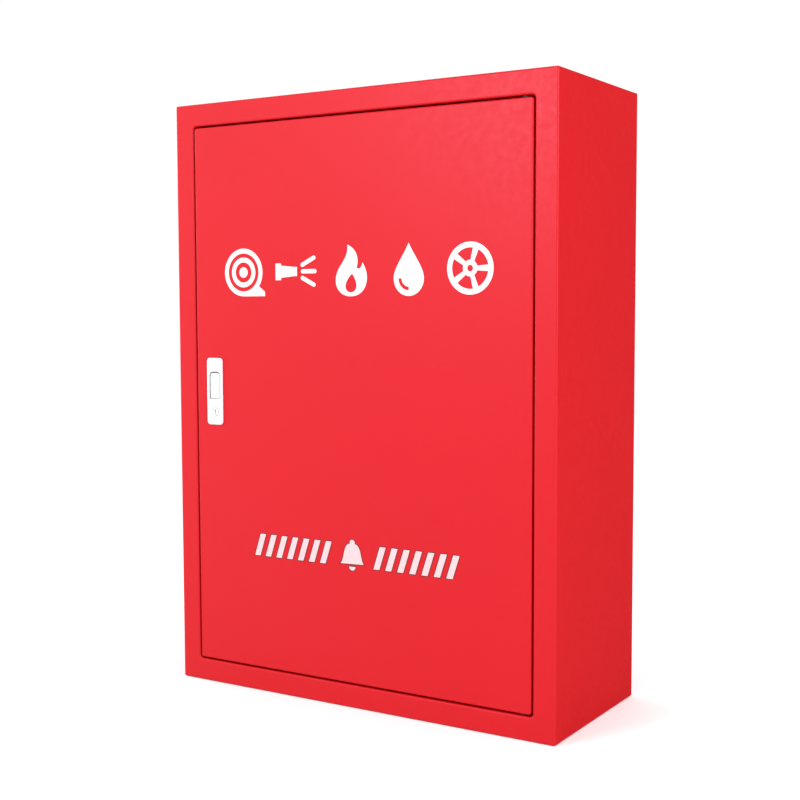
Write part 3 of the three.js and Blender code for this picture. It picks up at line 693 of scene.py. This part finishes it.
# Half width of the dish and its depth behind the paddle's face, from its floor to past its lip.
DISH = ((2.0, 0.9), (3.0, 0.8), (3.6, 0.55), (4.0, 0.2), (4.25, 0.0), (4.6, -0.4))
dish_loops = []
for half_mm, depth in DISH:
    half = (half_mm * MM, dish_half_h + (half_mm - 4) * MM)
    corner = half_mm * MM - 1e-5
    dish_loops.append(rounded_loop(lock_mid.x, dish_mid, *half, corner, face_y + depth * MM, 10))
dish = loft("dish", dish_loops, cap_start=True, cap_end=True)
pin_way = spun("pin_way", rod(PIN_WAY, -PIN_SEAT - 0.5, PIN_SEAT + 0.5), PIN, "X", 24, False)
cut_from(paddle, dish, pin_way)
done(paddle, satin_chrome, "paddle", "satin_chrome", "lock_paddle")

# %% Key barrel and plug
barrel = milled("key_barrel", "key_barrel_sleeve", 0.3, 2)
done(barrel, satin_chrome, "door", "satin_chrome", "key_barrel")
plug = milled("key_plug", "key_plug_core", 0.15, 2)
done(plug, satin_chrome, "key_cam", "satin_chrome", "key_plug")

# %% [markdown]
# Behind the door the lock is plain pressed steel: straps, a guide for the latch, a cam. These,
# and the hinge brackets, stops, screws, nuts, clips, pins and bushes elsewhere, are the CAD
# solids with their edges broken as a press tool or a file leaves them.

# %% Small milled and pressed pieces
PRESSED = {
    "lock_strap_upper": ("door", 0.4), "lock_strap_lower": ("door", 0.4),
    "lock_screw_upper": ("door", 0.3), "lock_screw_lower": ("door", 0.3),
    "latch_case": ("door", 0.4), "barrel_nut": ("door", 0.4), "paddle_pin": ("door", 0.2),
    "lock_cam": ("key_cam", 0.4), "cam_screw": ("key_cam", 0.4),
    "hinge_bracket_top": ("root", 0.5), "hinge_bracket_bottom": ("root", 0.5),
    "door_stop_upper": ("root", 0.6), "door_stop_lower": ("root", 0.6),
    "rack_screw_1": ("root", 0.5), "rack_screw_2": ("root", 0.5),
    "nozzle_clip_lower": ("root", 0.3), "nozzle_clip_upper": ("root", 0.3),
    "wheel_nut": ("wheel", 0.5),
}
for node, (body, edge) in PRESSED.items():
    piece = milled(node, f"{node}_steel", edge)
    done(piece, zinc_plate, body, "zinc_plated_steel", node)
for node, (body, edge) in {"latch_bolt": ("latch", 0.6), "gland_nut": ("root", 0.8)}.items():
    done(milled(node, f"{node}_brass", edge), spindle_brass, body, "brass", node)
for node in ("hinge_pin_top", "hinge_pin_bottom"):
    done(milled(node, f"{node}_painted", 0.3), red_coat, "root", "red_powder_coat", node)
for node in ("hinge_bush_top", "hinge_bush_bottom"):
    done(milled(node, f"{node}_nylon", 0.3), black_nylon, "door", "nylon", node)
for node in ("stop_pad_upper", "stop_pad_lower"):
    done(milled(node, f"{node}_rubber", 0.6), black_rubber, "root", "black_rubber", node)
backplate = milled("rack_backplate", "rack_backplate_steel", 1.0, 3)
done(backplate, red_coat, "root", "red_powder_coat", "rack_backplate")

# %% [markdown]
# ## Markings
# The door carries white screen-printed pictograms of what is inside, with no lettering: a hose
# reel, a nozzle, a flame, a drop and a handwheel. Ink is a fifth of a millimetre thick. Each is a
# filled 2D curve, where an outline inside another is a hole, given that thickness.


# %% Ink helper
INK = 0.18 * MM
INK_GAP = 0.01 * MM  # keeps the ink's back off the paint, so the two faces never coincide


def circle(cx, cz, radius, start=0, stop=360, steps=48):
    """Outline points, in millimetres."""
    turns = [math.radians(start + (stop - start) * k / steps) for k in range(steps + 1)]
    points = [(cx + radius * math.cos(a), cz + radius * math.sin(a)) for a in turns]
    return points[:-1] if stop - start == 360 else points


def bezier(p0, p1, p2, p3, steps=14):
    points = []
    for k in range(steps):
        t = k / steps
        weights = ((1 - t) ** 3, 3 * t * (1 - t) ** 2, 3 * t * t * (1 - t), t**3)
        ends = (p0, p1, p2, p3)
        points.append(tuple(sum(w * p[i] for w, p in zip(weights, ends)) for i in (0, 1)))
    return points


def pill(cx, cz, length, tall, tilt=0):
    """A bar with round ends, turned by tilt degrees."""
    r = tall / 2
    ends = circle(length / 2 - r, 0, r, -90, 90, 12) + circle(-length / 2 + r, 0, r, 90, 270, 12)
    c, s = math.cos(math.radians(tilt)), math.sin(math.radians(tilt))
    return [(cx + x * c - z * s, cz + x * s + z * c) for x, z in ends]


def printed(name, outlines, x_mm, node, material, rise, grow_mm=0.0, replaces=()):
    curve = bpy.data.curves.new(name, "CURVE")
    curve.dimensions = "2D"
    curve.fill_mode = "BOTH"
    curve.extrude = rise / 2
    curve.offset = grow_mm * MM
    for outline in outlines:
        spline = curve.splines.new("POLY")
        spline.points.add(len(outline) - 1)
        for point, (x, z) in zip(spline.points, outline):
            point.co = (x * MM, z * MM, 0, 1)
        spline.use_cyclic_u = True
    middle = centre(node)
    stand = Matrix.Rotation(math.radians(90), 4, "X")
    place = Matrix.Translation((middle.x + x_mm * MM, front_y - rise / 2 - INK_GAP, middle.z))
    obj = from_curve(name, curve, place @ stand)
    return done(obj, material, "door", "white_ink", *replaces)


# %% Upper row of pictograms
def reel_outlines():
    rim = circle(0, 0, 32, -90, -90 - 306, 44)
    tail = [(36, -26), (36, -32)]
    return [rim + tail, circle(0, 0, 25.5), circle(0, 0, 20), circle(0, 0, 13.5), circle(0, 0, 7)]


def nozzle_outlines():
    body = [(-33, -11), (-24, -11), (-24, -8), (-2, -6), (2, -6), (2, 6), (-2, 6), (-24, 8)]
    body += [(-24, 11), (-33, 11)]
    rays = [pill(20, 13, 26, 5.5, 26), pill(21, 0, 25, 5.5), pill(20, -13, 26, 5.5, -26)]
    return [body, *rays]


def flame_outlines():
    outer = bezier((0, -33), (24, -33), (32, -8), (18, 10)) + bezier((18, 10), (17, 3), (13, 1), (9, 3))
    outer += bezier((9, 3), (14, 16), (8, 28), (-5, 33)) + bezier((-5, 33), (-3, 20), (-11, 13), (-18, 3))
    outer += bezier((-18, 3), (-30, -15), (-20, -33), (0, -33))
    heart = bezier((0, -28), (11, -27), (12, -16), (2, -4))
    heart += bezier((2, -4), (-10, -14), (-12, -27), (0, -28))
    return [outer, heart]


def drop_outlines():
    side = bezier((0, 33), (8, 16), (22, 2), (22, -11)) + circle(0, -11, 22, 0, -180, 32)
    side += bezier((-22, -11), (-22, 2), (-8, 16), (0, 33))[1:]
    gleam = circle(0, -11, 15, 180, 270, 14) + circle(0, -11, 10.5, 270, 180, 14)
    return [side, gleam]


def wheel_outlines():
    windows = []
    for k in range(5):
        start, stop = 72 * k + 9, 72 * k + 63
        rim = circle(0, 0, 25, start, stop, 14)
        windows.append(rim + circle(0, 0, 10, stop - 7, start + 7, 8))
    return [circle(0, 0, 32), *windows, circle(0, 0, 4)]


PICTOGRAMS = {
    "reel": reel_outlines(), "nozzle": nozzle_outlines(), "flame": flame_outlines(),
    "drop": drop_outlines(), "wheel": wheel_outlines(),
}
PICTOGRAM_STEP = 87
for k, (name, outlines) in enumerate(PICTOGRAMS.items()):
    covers = ("mark_upper",) if k == 0 else ()
    x = (k - 2) * PICTOGRAM_STEP
    printed(f"pictogram_{name}", outlines, x, "mark_upper", white_ink, INK, replaces=covers)

# %% [markdown]
# The lower row is a bell between slanted stripes. Each lies on a slightly larger dark key line
# that is printed first, so a thin dark edge shows all round.


# %% Lower row
def bell_outlines():
    dome = bezier((-19, -12), (-12, -8), (-15, 14), (-4, 15)) + circle(0, 16.5, 4, 200, -20, 12)
    dome += bezier((4, 15), (15, 14), (12, -8), (19, -12))
    clapper = circle(0, -15, 5, 180, 360, 14)
    return [dome, clapper]


def stripe(tall=30, wide=9, lean=5):
    half = wide / 2
    foot, head = -tall / 2, tall / 2
    return [(-half - lean, foot), (half - lean, foot), (half + lean, head), (-half + lean, head)]


LOWER = [("bell", bell_outlines(), 0)]
STRIPES, STRIPE_STEP, FIRST_STRIPE = 7, 18, 42
KEY_LINE = 1.1
for side in (-1, 1):
    for k in range(STRIPES):
        name = f"stripe_{'left' if side < 0 else 'right'}_{k + 1}"
        LOWER.append((name, [stripe()], side * (FIRST_STRIPE + k * STRIPE_STEP)))
for k, (name, outlines, x) in enumerate(LOWER):
    covers = ("mark_lower",) if k == 0 else ()
    printed(f"key_line_{name}", outlines, x, "mark_lower", key_line_ink, INK / 2, KEY_LINE, covers)
    printed(f"pictogram_{name}", outlines, x, "mark_lower", rosy_ink, INK)

# %% [markdown]
# ## Geometry Nodes for what repeats
# Springs and threads are a round wire swept along a helix. Spot welds, spokes and grip ribs are
# one small shape repeated. A node tree with named inputs describes each rule once, and its result
# is turned into a plain mesh for each piece.


# %% Geometry Nodes helper
def grown(name, build, material, **values):
    """Run a node tree made by build(tree, sockets) and return its result as an object."""
    tree = bpy.data.node_groups.new(name, "GeometryNodeTree")
    tree.interface.new_socket("Geometry", in_out="OUTPUT", socket_type="NodeSocketGeometry")
    for key, value in values.items():
        kind = "NodeSocketInt" if isinstance(value, int) else "NodeSocketFloat"
        tree.interface.new_socket(key, in_out="INPUT", socket_type=kind)
    entry = put(tree, "NodeGroupInput")
    made = build(tree, entry.outputs)
    real = put(tree, "GeometryNodeRealizeInstances", {"Geometry": made}).outputs["Geometry"]
    coloured = put(tree, "GeometryNodeSetMaterial", {"Geometry": real, "Material": material})
    put(tree, "NodeGroupOutput", {"Geometry": coloured.outputs["Geometry"]})
    obj = new_object(name, bpy.data.meshes.new(name))
    step = obj.modifiers.new("grown", "NODES")
    step.node_group = tree
    for item in tree.interface.items_tree:
        if item.in_out == "INPUT":
            step[item.identifier] = values[item.name]
    return applied(obj)


def helix(tree, given):
    """A round wire wound along Z: radius, pitch length, turns and wire radius are inputs."""
    coil = put(
        tree, "GeometryNodeCurveSpiral",
        {
            "Resolution": 24, "Rotations": given["Turns"], "Start Radius": given["Radius"],
            "End Radius": given["Radius"], "Height": given["Height"],
        },
    )
    wire_section = put(
        tree, "GeometryNodeCurvePrimitiveCircle",
        {"Resolution": 10, "Radius": given["Wire"]}, mode="RADIUS",
    )
    inputs = {"Curve": coil.outputs["Curve"], "Profile Curve": wire_section.outputs["Curve"]}
    return put(tree, "GeometryNodeCurveToMesh", inputs | {"Fill Caps": True}).outputs["Mesh"]


def in_turn(tree, points, shape, count):
    """Shape on each point, each turned on about Z by an equal share of a full turn."""
    share = put(tree, "ShaderNodeMath", {0: math.tau, 1: count}, operation="DIVIDE").outputs[0]
    index = put(tree, "GeometryNodeInputIndex").outputs["Index"]
    angle = put(tree, "ShaderNodeMath", {0: index, 1: share}, operation="MULTIPLY").outputs[0]
    about_z = put(tree, "ShaderNodeCombineXYZ", {"Z": angle}).outputs["Vector"]
    inputs = {"Points": points, "Instance": shape, "Rotation": about_z}
    return put(tree, "GeometryNodeInstanceOnPoints", inputs).outputs["Instances"]


def placed(obj, matrix):
    obj.data.transform(matrix)
    return obj


# %% Latch spring and the latch's pieces
spring_low, spring_high = low("latch_spring"), high("latch_spring")
spring_mid = centre("latch_spring")
WIRE = 0.45 * MM
spring = grown(
    "latch_coil_spring", helix, spring_steel, Turns=7.0, Wire=WIRE,
    Radius=(spring_high.z - spring_low.z) / 2 - WIRE,
    Height=spring_high.x - spring_low.x - 2 * WIRE,
)
lay = Matrix.Translation((spring_low.x + WIRE, spring_mid.y, spring_mid.z)) @ AXES["X"]
done(placed(spring, lay), spring_steel, "door", "zinc_plated_steel", "latch_spring", angle=80)
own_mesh(spring)


# %% Spot welds on the stiffener
def weld_row(tree, given):
    """Shallow discs along Z, Count of them, Step apart."""
    line = put(
        tree, "GeometryNodeMeshLine", {"Count": given["Count"]}, mode="OFFSET", count_mode="TOTAL"
    )
    offset = put(tree, "ShaderNodeCombineXYZ", {"Z": given["Step"]})
    tree.links.new(offset.outputs["Vector"], line.inputs["Offset"])
    disc = put(
        tree, "GeometryNodeMeshCone",
        {
            "Vertices": 20, "Radius Top": given["Top"], "Radius Bottom": given["Foot"],
            "Depth": given["Rise"],
        },
    )
    turned_disc = put(
        tree, "GeometryNodeTransform",
        {"Geometry": disc.outputs["Mesh"], "Rotation": (math.radians(-90), 0, 0)},
    )
    spots = put(
        tree, "GeometryNodeInstanceOnPoints",
        {"Points": line.outputs["Mesh"], "Instance": turned_disc.outputs["Geometry"]},
    )
    return spots.outputs["Instances"]


rib_low, rib_high = low("door_stiffener"), high("door_stiffener")
WELDS = 11
WELD_IN, WELD_END = 7 * MM, 30 * MM  # from the rib's long edge and from its ends
weld_step = (rib_high.z - rib_low.z - 2 * WELD_END) / (WELDS - 1)
for side, x in (("left", rib_low.x + WELD_IN), ("right", rib_high.x - WELD_IN)):
    welds = grown(
        f"spot_welds_{side}", weld_row, red_coat,
        Count=WELDS, Step=weld_step, Top=2.0 * MM, Foot=3.2 * MM, Rise=0.35 * MM,
    )
    start = Matrix.Translation((x, rib_low.y + 1.25 * MM, rib_low.z + WELD_END))
    done(placed(welds, start), red_coat, "door", "red_powder_coat")

# %% [markdown]
# ## The water side
# The riser comes up through a rubber grommet into an angle valve. Its body is a sand casting:
# the turned body and the outlet branch are fused on a fine grid and smoothed, which gives the
# round fillets a foundry pattern has, and then the bores are cut crisp.


# %% Casting helper
def casting(name, pieces, voxel_mm, smooth=6):
    """Fuse overlapping closed pieces into one skin with soft fillets."""
    bm = bmesh.new()
    for piece in pieces:
        bm.from_mesh(piece.data)
        bpy.data.objects.remove(piece)
    fused = from_bmesh(name, bm, recalculate=False)
    grid = fused.modifiers.new("grid", "REMESH")
    grid.mode = "VOXEL"
    grid.voxel_size = voxel_mm * MM
    ease = fused.modifiers.new("ease", "SMOOTH")
    ease.factor = 0.5
    ease.iterations = smooth
    return applied(fused)


# %% Riser and grommets
axis = (pipe.x, pipe.y, 0)
nipple_top = high("inlet_nipple").z / MM
done(
    spun("riser_nipple", rounded([(33, 0), (38, 0), (38, nipple_top), (33, nipple_top)], 0.6), axis),
    zinc_plate, "root", "zinc_plated_steel", "inlet_nipple",
)
thread = grown(
    "riser_thread", helix, zinc_plate, Turns=12.0, Wire=0.55 * MM, Radius=37.75 * MM, Height=27 * MM
)
placed(thread, Matrix.Translation((pipe.x, pipe.y, 12 * MM)))
done(thread, zinc_plate, "root", "zinc_plated_steel")
grommet_profile = rounded(
    [(38.3, 0.5), (43.7, 0.5), (43.7, 1.8), (49, 1.8), (49, 5), (41, 7), (38.3, 7)], 1.0
)
done(spun("riser_grommet", grommet_profile, axis), black_rubber, "root", "black_rubber", "pipe_grommet")
blank_profile = rounded(
    [(0, 0.5), (43.7, 0.5), (43.7, 1.8), (49, 1.8), (48, 4), (36, 4), (34, 3), (0, 3)], 0.8
)
spare_axis = (spare.x, spare.y, 0)
done(
    spun("spare_entry_blank", blank_profile, spare_axis),
    black_rubber, "root", "black_rubber", "spare_entry_plug",
)

# %% Valve body
OUTLET_Z = centre("outlet_coupling").z / MM
body_profile = rounded(
    [(0, 40), (46, 40), (46, 62), (52, 74), (57, 88), (58.3, 106), (57, 124), (52, 136), (45, 145),
     (45, 160), (0, 160)], 2.0,
)
outer = spun("valve_outer", body_profile, axis)
reach_mm = (pipe.y - high("outlet_coupling").y) / MM
branch = spun(
    "branch", [(0, 0), (39.5, 0), (39.5, reach_mm - 2), (38.5, reach_mm - 0.4), (0, reach_mm - 0.4)],
    (pipe.x, pipe.y, OUTLET_Z * MM), "-Y",
)
valve_body = casting("valve_body_casting", [outer, branch], 1.6, 8)
bore = spun(
    "bore",
    [(0, 30), (38.3, 30), (38.3, 60.3), (33, 60.3), (28, 70), (28, 78), (46, 78), (50, 92), (50.5, 106),
     (49, 122), (36, 136), (36, 165), (0, 165)],
    axis,
)
way_out = spun(
    "way_out", rod(32, 0, reach_mm + 5),
    (pipe.x, pipe.y, OUTLET_Z * MM), "-Y",
)
cut_from(valve_body, bore, way_out)
done(valve_body, red_enamel, "root", "red_cast_iron", "valve_body", angle=50)

# %% [markdown]
# The bonnet is turned from the same iron, with flats for a spanner; the stem is brass, and its
# wheel is a casting again: a rim with finger waves and five spokes.

# %% Bonnet, stem, disc and seal
bonnet_profile = rounded(
    [(8.3, 150), (35.7, 148), (35.7, 160.3), (46, 160.3), (46, 170), (34, 173), (24, 181), (17, 190),
     (8.3, 190)], 1.2,
)
bonnet = spun("valve_bonnet_turned", bonnet_profile, axis)
flats = []
FLAT_REACH = 44.2
for k in range(8):
    flat = block(f"flat_{k}", (FLAT_REACH * MM, -0.04, 0.159), (0.09, 0.04, 0.1715))
    spin = Matrix.Translation((pipe.x, pipe.y, 0)) @ Matrix.Rotation(math.radians(45 * k), 4, "Z")
    flats.append(placed(flat, spin))
cut_from(bonnet, *flats)
done(bonnet, red_enamel, "root", "red_cast_iron", "valve_bonnet")

wheel_z = centre("handwheel").z / MM
stem_top, stem_low = high("valve_stem").z / MM, low("valve_stem").z / MM
shoulder = wheel_z - 7.2
stem_profile = rounded(
    [(0, stem_low), (8, stem_low), (8, shoulder), (6, shoulder), (6, shoulder + 16), (4.6, shoulder + 17),
     (4.6, stem_top - 1), (3.8, stem_top), (0, stem_top)], 0.4,
)
done(spun("valve_stem_turned", stem_profile, axis), spindle_brass, "wheel", "brass", "valve_stem")
stem_thread = grown(
    "stem_thread", helix, spindle_brass, Turns=7.0, Wire=0.35 * MM, Radius=4.7 * MM, Height=8.4 * MM
)
lift_thread = Matrix.Translation((pipe.x, pipe.y, (stem_top - 10) * MM))
done(placed(stem_thread, lift_thread), spindle_brass, "wheel", "brass")
disc_profile = rounded(
    [(0, 80.4), (31, 80.4), (31, 88), (26, 91), (15, 92), (15, 104), (8.3, 104), (8.3, 92.2),
     (0, 92.2)], 0.8,
)
done(spun("valve_disc_turned", disc_profile, axis), spindle_brass, "valve_lift", "brass", "valve_disc")
seal_profile = rounded([(14, 78.3), (31, 78.3), (31, 80.1), (14, 80.1)], 0.5)
done(spun("disc_seal_ring", seal_profile, axis), black_rubber, "valve_lift", "black_rubber", "disc_seal")


# %% Handwheel
def wheel_rim(name, ring_r, tube_r, waves, depth, around=160, section=20):
    """A rim whose outside dips in a wave for each finger."""
    bm = bmesh.new()
    rows = []
    for i in range(around):
        a = 2 * math.pi * i / around
        dip = depth * (0.5 - 0.5 * math.cos(waves * a))
        row = []
        for j in range(section):
            b = 2 * math.pi * j / section
            r = ring_r + (tube_r - dip * max(0.0, math.cos(b))) * math.cos(b)
            row.append(bm.verts.new((r * math.cos(a), r * math.sin(a), tube_r * math.sin(b))))
        rows.append(row)
    for i in range(around):
        first, second = rows[i], rows[(i + 1) % around]
        for j in range(section):
            n = (j + 1) % section
            bm.faces.new((first[j], first[n], second[n], second[j]))
    return from_bmesh(name, bm)


def spoke(tree, given):
    """Count tapered spokes round Z, each from the hub out to the rim."""
    cone = put(
        tree, "GeometryNodeMeshCone",
        {
            "Vertices": 20, "Radius Top": given["Tip"], "Radius Bottom": given["Root"],
            "Depth": given["Length"],
        },
    )
    flat_cone = put(
        tree, "GeometryNodeTransform",
        {"Geometry": cone.outputs["Mesh"], "Rotation": (0, math.radians(90), 0)},
    )
    here = put(tree, "GeometryNodePoints", {"Count": given["Count"]}).outputs["Points"]
    return in_turn(tree, here, flat_cone.outputs["Geometry"], given["Count"])


RIM_TUBE, FINGERS, FINGER_DIP = 6 * MM, 10, 1.8 * MM
wheel_half = (high("handwheel").x - low("handwheel").x) / 2
rim = wheel_rim("rim", wheel_half - RIM_TUBE, RIM_TUBE, FINGERS, FINGER_DIP)
spokes = grown("spokes", spoke, red_enamel, Count=5, Tip=4.2 * MM, Root=5.6 * MM, Length=46 * MM)
hub = spun("hub", [(0, -7.2), (11.5, -7.2), (12.8, -5), (12.8, 3.5), (11.5, 5.5), (0, 5.5)], (0, 0, 0))
wheel = casting("handwheel_casting", [rim, spokes, hub], 0.9, 5)
cut_from(wheel, spun("hub_bore", rod(6.2, -20, 20), (0, 0, 0)))
placed(wheel, Matrix.Translation((pipe.x, pipe.y, wheel_z * MM)))
done(wheel, red_enamel, "wheel", "red_cast_iron", "handwheel", angle=50)

# %% [markdown]
# The couplings are aluminium castings, turned where they seal. Ribs round the grip give a
# gloved hand some hold.


# %% Outlet coupling
def ribs(tree, given):
    """Count bars round Z at a radius."""
    bar = put(tree, "GeometryNodeMeshCube")
    size = put(tree, "ShaderNodeCombineXYZ", {"X": given["Deep"], "Y": given["Wide"], "Z": given["Tall"]})
    tree.links.new(size.outputs["Vector"], bar.inputs["Size"])
    ring = put(
        tree, "GeometryNodeMeshCircle", {"Vertices": given["Count"], "Radius": given["Radius"]}
    )
    return in_turn(tree, ring.outputs["Mesh"], bar.outputs["Mesh"], given["Count"])


LUG_HALF = 4.6 * MM
LUG_EDGE = 2.5


def add_lugs(piece, x, reach, corner, opposite):
    """Fuse a lug to each side of x; the corners are given as (y, z)."""
    lugs = []
    for side in (-1, 1):
        middle = x + side * reach
        lug = block(f"lug_{side}", (middle - LUG_HALF, *corner), (middle + LUG_HALF, *opposite))
        lugs.append(break_edges(lug, LUG_EDGE, 4))
    return join_with(piece, *lugs)


outlet_y = high("outlet_coupling").y + 0.3 * MM


def outlet_at(out_mm):
    """A place on the outlet's axis, that far out towards the door."""
    return (pipe.x, outlet_y - out_mm * MM, OUTLET_Z * MM)


outlet_profile = rounded(
    [(32, 0.6), (43, 0.6), (43, 6), (48, 9), (48, 24), (45, 26), (38, 26), (38, 20), (32, 20)], 0.8
)
coupling = spun("outlet_coupling_turned", outlet_profile, outlet_at(0), "-Y")
lug_corners = (outlet_y - 24 * MM, (OUTLET_Z - 9) * MM), (outlet_y - 10 * MM, (OUTLET_Z + 9) * MM)
add_lugs(coupling, pipe.x, 49.3 * MM, *lug_corners)
done(coupling, cast_aluminium, "root", "cast_aluminium", "outlet_coupling")
outlet_ribs = grown(
    "outlet_grip_ribs", ribs, cast_aluminium, Count=48, Radius=48.0 * MM, Deep=1.6 * MM,
    Wide=2.2 * MM, Tall=11 * MM,
)
stand_ribs = Matrix.Translation(outlet_at(16.5)) @ AXES["-Y"]
done(break_edges(placed(outlet_ribs, stand_ribs), 0.5, 2), cast_aluminium, "root", "cast_aluminium")
gasket_profile = rounded([(32.5, 20.3), (37.5, 20.3), (37.5, 25), (32.5, 25)], 1.4)
done(
    spun("outlet_gasket_ring", gasket_profile, outlet_at(0.3), "-Y"),
    black_rubber, "root", "black_rubber", "outlet_gasket",
)

# %% [markdown]
# ## Hose rack
# Two bent bars reach out of a wall plate and turn up, with a cross bar. Each bar is a curve with
# a round section, so the bend is smooth.


# %% Rack bars
def bent_bar(name, points, radius, round_mm, node):
    """A round bar through points, its corners bent to a radius, with domed ends."""
    route = [Vector(points[0])]
    for before, here, after in zip(points, points[1:], points[2:]):
        p, a, b = Vector(here), Vector(before), Vector(after)
        start = p + (a - p).normalized() * round_mm * MM
        stop = p + (b - p).normalized() * round_mm * MM
        for k in range(13):
            t = k / 12
            route.append(start * (1 - t) ** 2 + p * 2 * t * (1 - t) + stop * t**2)
    route.append(Vector(points[-1]))
    curve = bpy.data.curves.new(name, "CURVE")
    curve.dimensions = "3D"
    spline = curve.splines.new("POLY")
    first, last = (route[1] - route[0]).normalized(), (route[-1] - route[-2]).normalized()
    dome = [(0.0, 0.45), (0.12, 0.75), (0.35, 0.94), (0.7, 1.0)]
    stations = [(route[0] + first * radius * t, r) for t, r in dome]
    stations += [(p, 1.0) for p in route[1:-1]]
    stations += [(route[-1] - last * radius * t, r) for t, r in reversed(dome)]
    spline.points.add(len(stations) - 1)
    for point, (place, thick) in zip(spline.points, stations):
        point.co = (*place, 1)
        point.radius = thick
    curve.bevel_depth = radius
    curve.bevel_resolution = 6
    curve.use_fill_caps = True
    bar = from_curve(name, curve, Matrix.Identity(4))
    return done(bar, zinc_plate, "root", "zinc_plated_steel", node, angle=50)


ARM_BEND, TIE_BEND = 25, 5
TIE_MIDDLE = 0.07  # any place between the arms: the bar is straight
for side in ("left", "right"):
    node = f"rack_arm_{side}"
    a, b = low(node), high(node)
    x, r = (a.x + b.x) / 2, (b.x - a.x) / 2
    points = [(x, b.y, a.z + r), (x, a.y + r, a.z + r), (x, a.y + r, b.z)]
    bent_bar(f"{node}_bar", points, r, ARM_BEND, node)
a, b = low("rack_tie_bar"), high("rack_tie_bar")
y, z, r = (a.y + b.y) / 2, (a.z + b.z) / 2, (b.z - a.z) / 2
tie_points = [(a.x, y, z), (TIE_MIDDLE, y, z), (b.x, y, z)]
bent_bar("rack_tie_bar_round", tie_points, r, TIE_BEND, "rack_tie_bar")

# %% [markdown]
# ## Nozzle
# A turned aluminium barrel on a hose coupling, with a brass tip, gripped by two spring clips.

# %% Nozzle
nozzle = centre("nozzle_barrel")
foot = low("nozzle_coupling").z
nozzle_place = (nozzle.x, nozzle.y, foot)
tip_foot = (low("nozzle_tip").z - foot) / MM - 0.3
barrel_profile = rounded(
    [(24, 12), (29, 12), (29, 34), (25, 50), (22, 80), (22, tip_foot - 60), (16, tip_foot),
     (9.5, tip_foot), (18, tip_foot - 80), (19, 70), (24, 40)], 1.5,
)
done(
    spun("nozzle_barrel_turned", barrel_profile, nozzle_place),
    cast_aluminium, "root", "cast_aluminium", "nozzle_barrel",
)
collar_profile = rounded(
    [(31, 0), (43, 0), (45.2, 3), (45.2, 20), (38, 26), (29.3, 26), (29.3, 12), (31, 12)], 0.9
)
collar = spun("nozzle_coupling_turned", collar_profile, nozzle_place)
lug_corners = (nozzle.y - 8 * MM, foot + 3 * MM), (nozzle.y + 8 * MM, foot + 18 * MM)
add_lugs(collar, nozzle.x, 45.3 * MM, *lug_corners)
done(collar, cast_aluminium, "root", "cast_aluminium", "nozzle_coupling")
nozzle_ribs = grown(
    "nozzle_grip_ribs", ribs, cast_aluminium, Count=44, Radius=45.0 * MM, Deep=1.6 * MM,
    Wide=2.2 * MM, Tall=12 * MM,
)
rib_place = Matrix.Translation((nozzle.x, nozzle.y, foot + 11.5 * MM))
done(break_edges(placed(nozzle_ribs, rib_place), 0.5, 2), cast_aluminium, "root", "cast_aluminium")
tip = milled("nozzle_tip", "nozzle_tip_brass", 0.8, 3)
done(tip, spindle_brass, "root", "brass", "nozzle_tip")

# %% [markdown]
# ## Stage
# A white floor and a white room. Plain surfaces and the eye see the room evenly lit. Reflections
# see it dimmer low down and behind the right side, as if the studio had a dark end there, and
# the floor is left out of them.

# %% Floor
scene = bpy.context.scene
scene.view_settings.view_transform = "Standard"

floor_mesh = bpy.data.meshes.new("studio_floor")
FLOOR_HALF = 6.0
floor_turns = ((-1, -1), (1, -1), (1, 1), (-1, 1))
floor_corners = [(x * FLOOR_HALF, y * FLOOR_HALF, 0) for x, y in floor_turns]
floor_mesh.from_pydata(floor_corners, [], [(0, 1, 2, 3)])
floor = new_object("studio_floor", floor_mesh)
floor.location.z = -0.0005
pale, pale_tree, pale_shader = new_finish("studio_floor_paint", Metallic=0.0, Roughness=0.9)
wire(pale_tree, pale_shader, Base_Color=tint(pale_tree, grain(pale_tree, 300), "#FDFDFD", "#FFFFFF"))
floor.data.materials.append(pale)
floor.visible_glossy = False

# %% Room
world = bpy.data.worlds.new("studio_world")
scene.world = world
world.use_nodes = True
sky = world.node_tree
room = sky.nodes["Background"]
room.inputs["Color"].default_value = (1, 1, 1, 1)
WHITE_ROOM = 1.03
DARK_END, DOWN = Vector((0.40, 0.92, 0.0)), Vector((0, 0, -1))


def sky_fade(toward, begin, end, dimmest):
    """1.0 up to begin, measured along toward, then down to dimmest at end."""
    heading = put(sky, "ShaderNodeTexCoord").outputs["Generated"]
    along = put(sky, "ShaderNodeVectorMath", {0: heading, 1: toward}, operation="DOT_PRODUCT")
    return spread(sky, along.outputs["Value"], 1.0, dimmest, begin, end)


fades = {0: sky_fade(DARK_END, 0.3, 0.8, 0.08), 1: sky_fade(DOWN, -0.05, 0.4, 0.45)}
dim = put(sky, "ShaderNodeMath", fades, operation="MULTIPLY").outputs["Value"]
in_reflections = put(sky, "ShaderNodeLightPath").outputs["Is Glossy Ray"]
level = spread(sky, in_reflections, WHITE_ROOM, dim, 0.0, 1.0)
sky.links.new(level, room.inputs["Strength"])


# %% Lights
def soft_light(name, place, target, size, power):
    data = bpy.data.lights.new(name, "AREA")
    data.shape = "RECTANGLE"
    data.size, data.size_y = size
    data.energy = power
    lamp = bpy.data.objects.new(name, data)
    scene.collection.objects.link(lamp)
    lamp.location = place
    lamp.rotation_euler = (Vector(target) - Vector(place)).to_track_quat("-Z", "Y").to_euler()
    return lamp


soft_light("key_softbox", (-0.70, -2.35, 1.3), (0.2, 0, 0.7), (0.6, 0.6), 20)
soft_light("right_softbox", (2.2, -0.9, 1.3), (0.29, 0, 0.4), (0.5, 1.2), 28)
soft_light("left_softbox", (-2.0, -0.45, 0.8), (-0.25, -0.12, 0.4), (0.9, 1.6), 16)
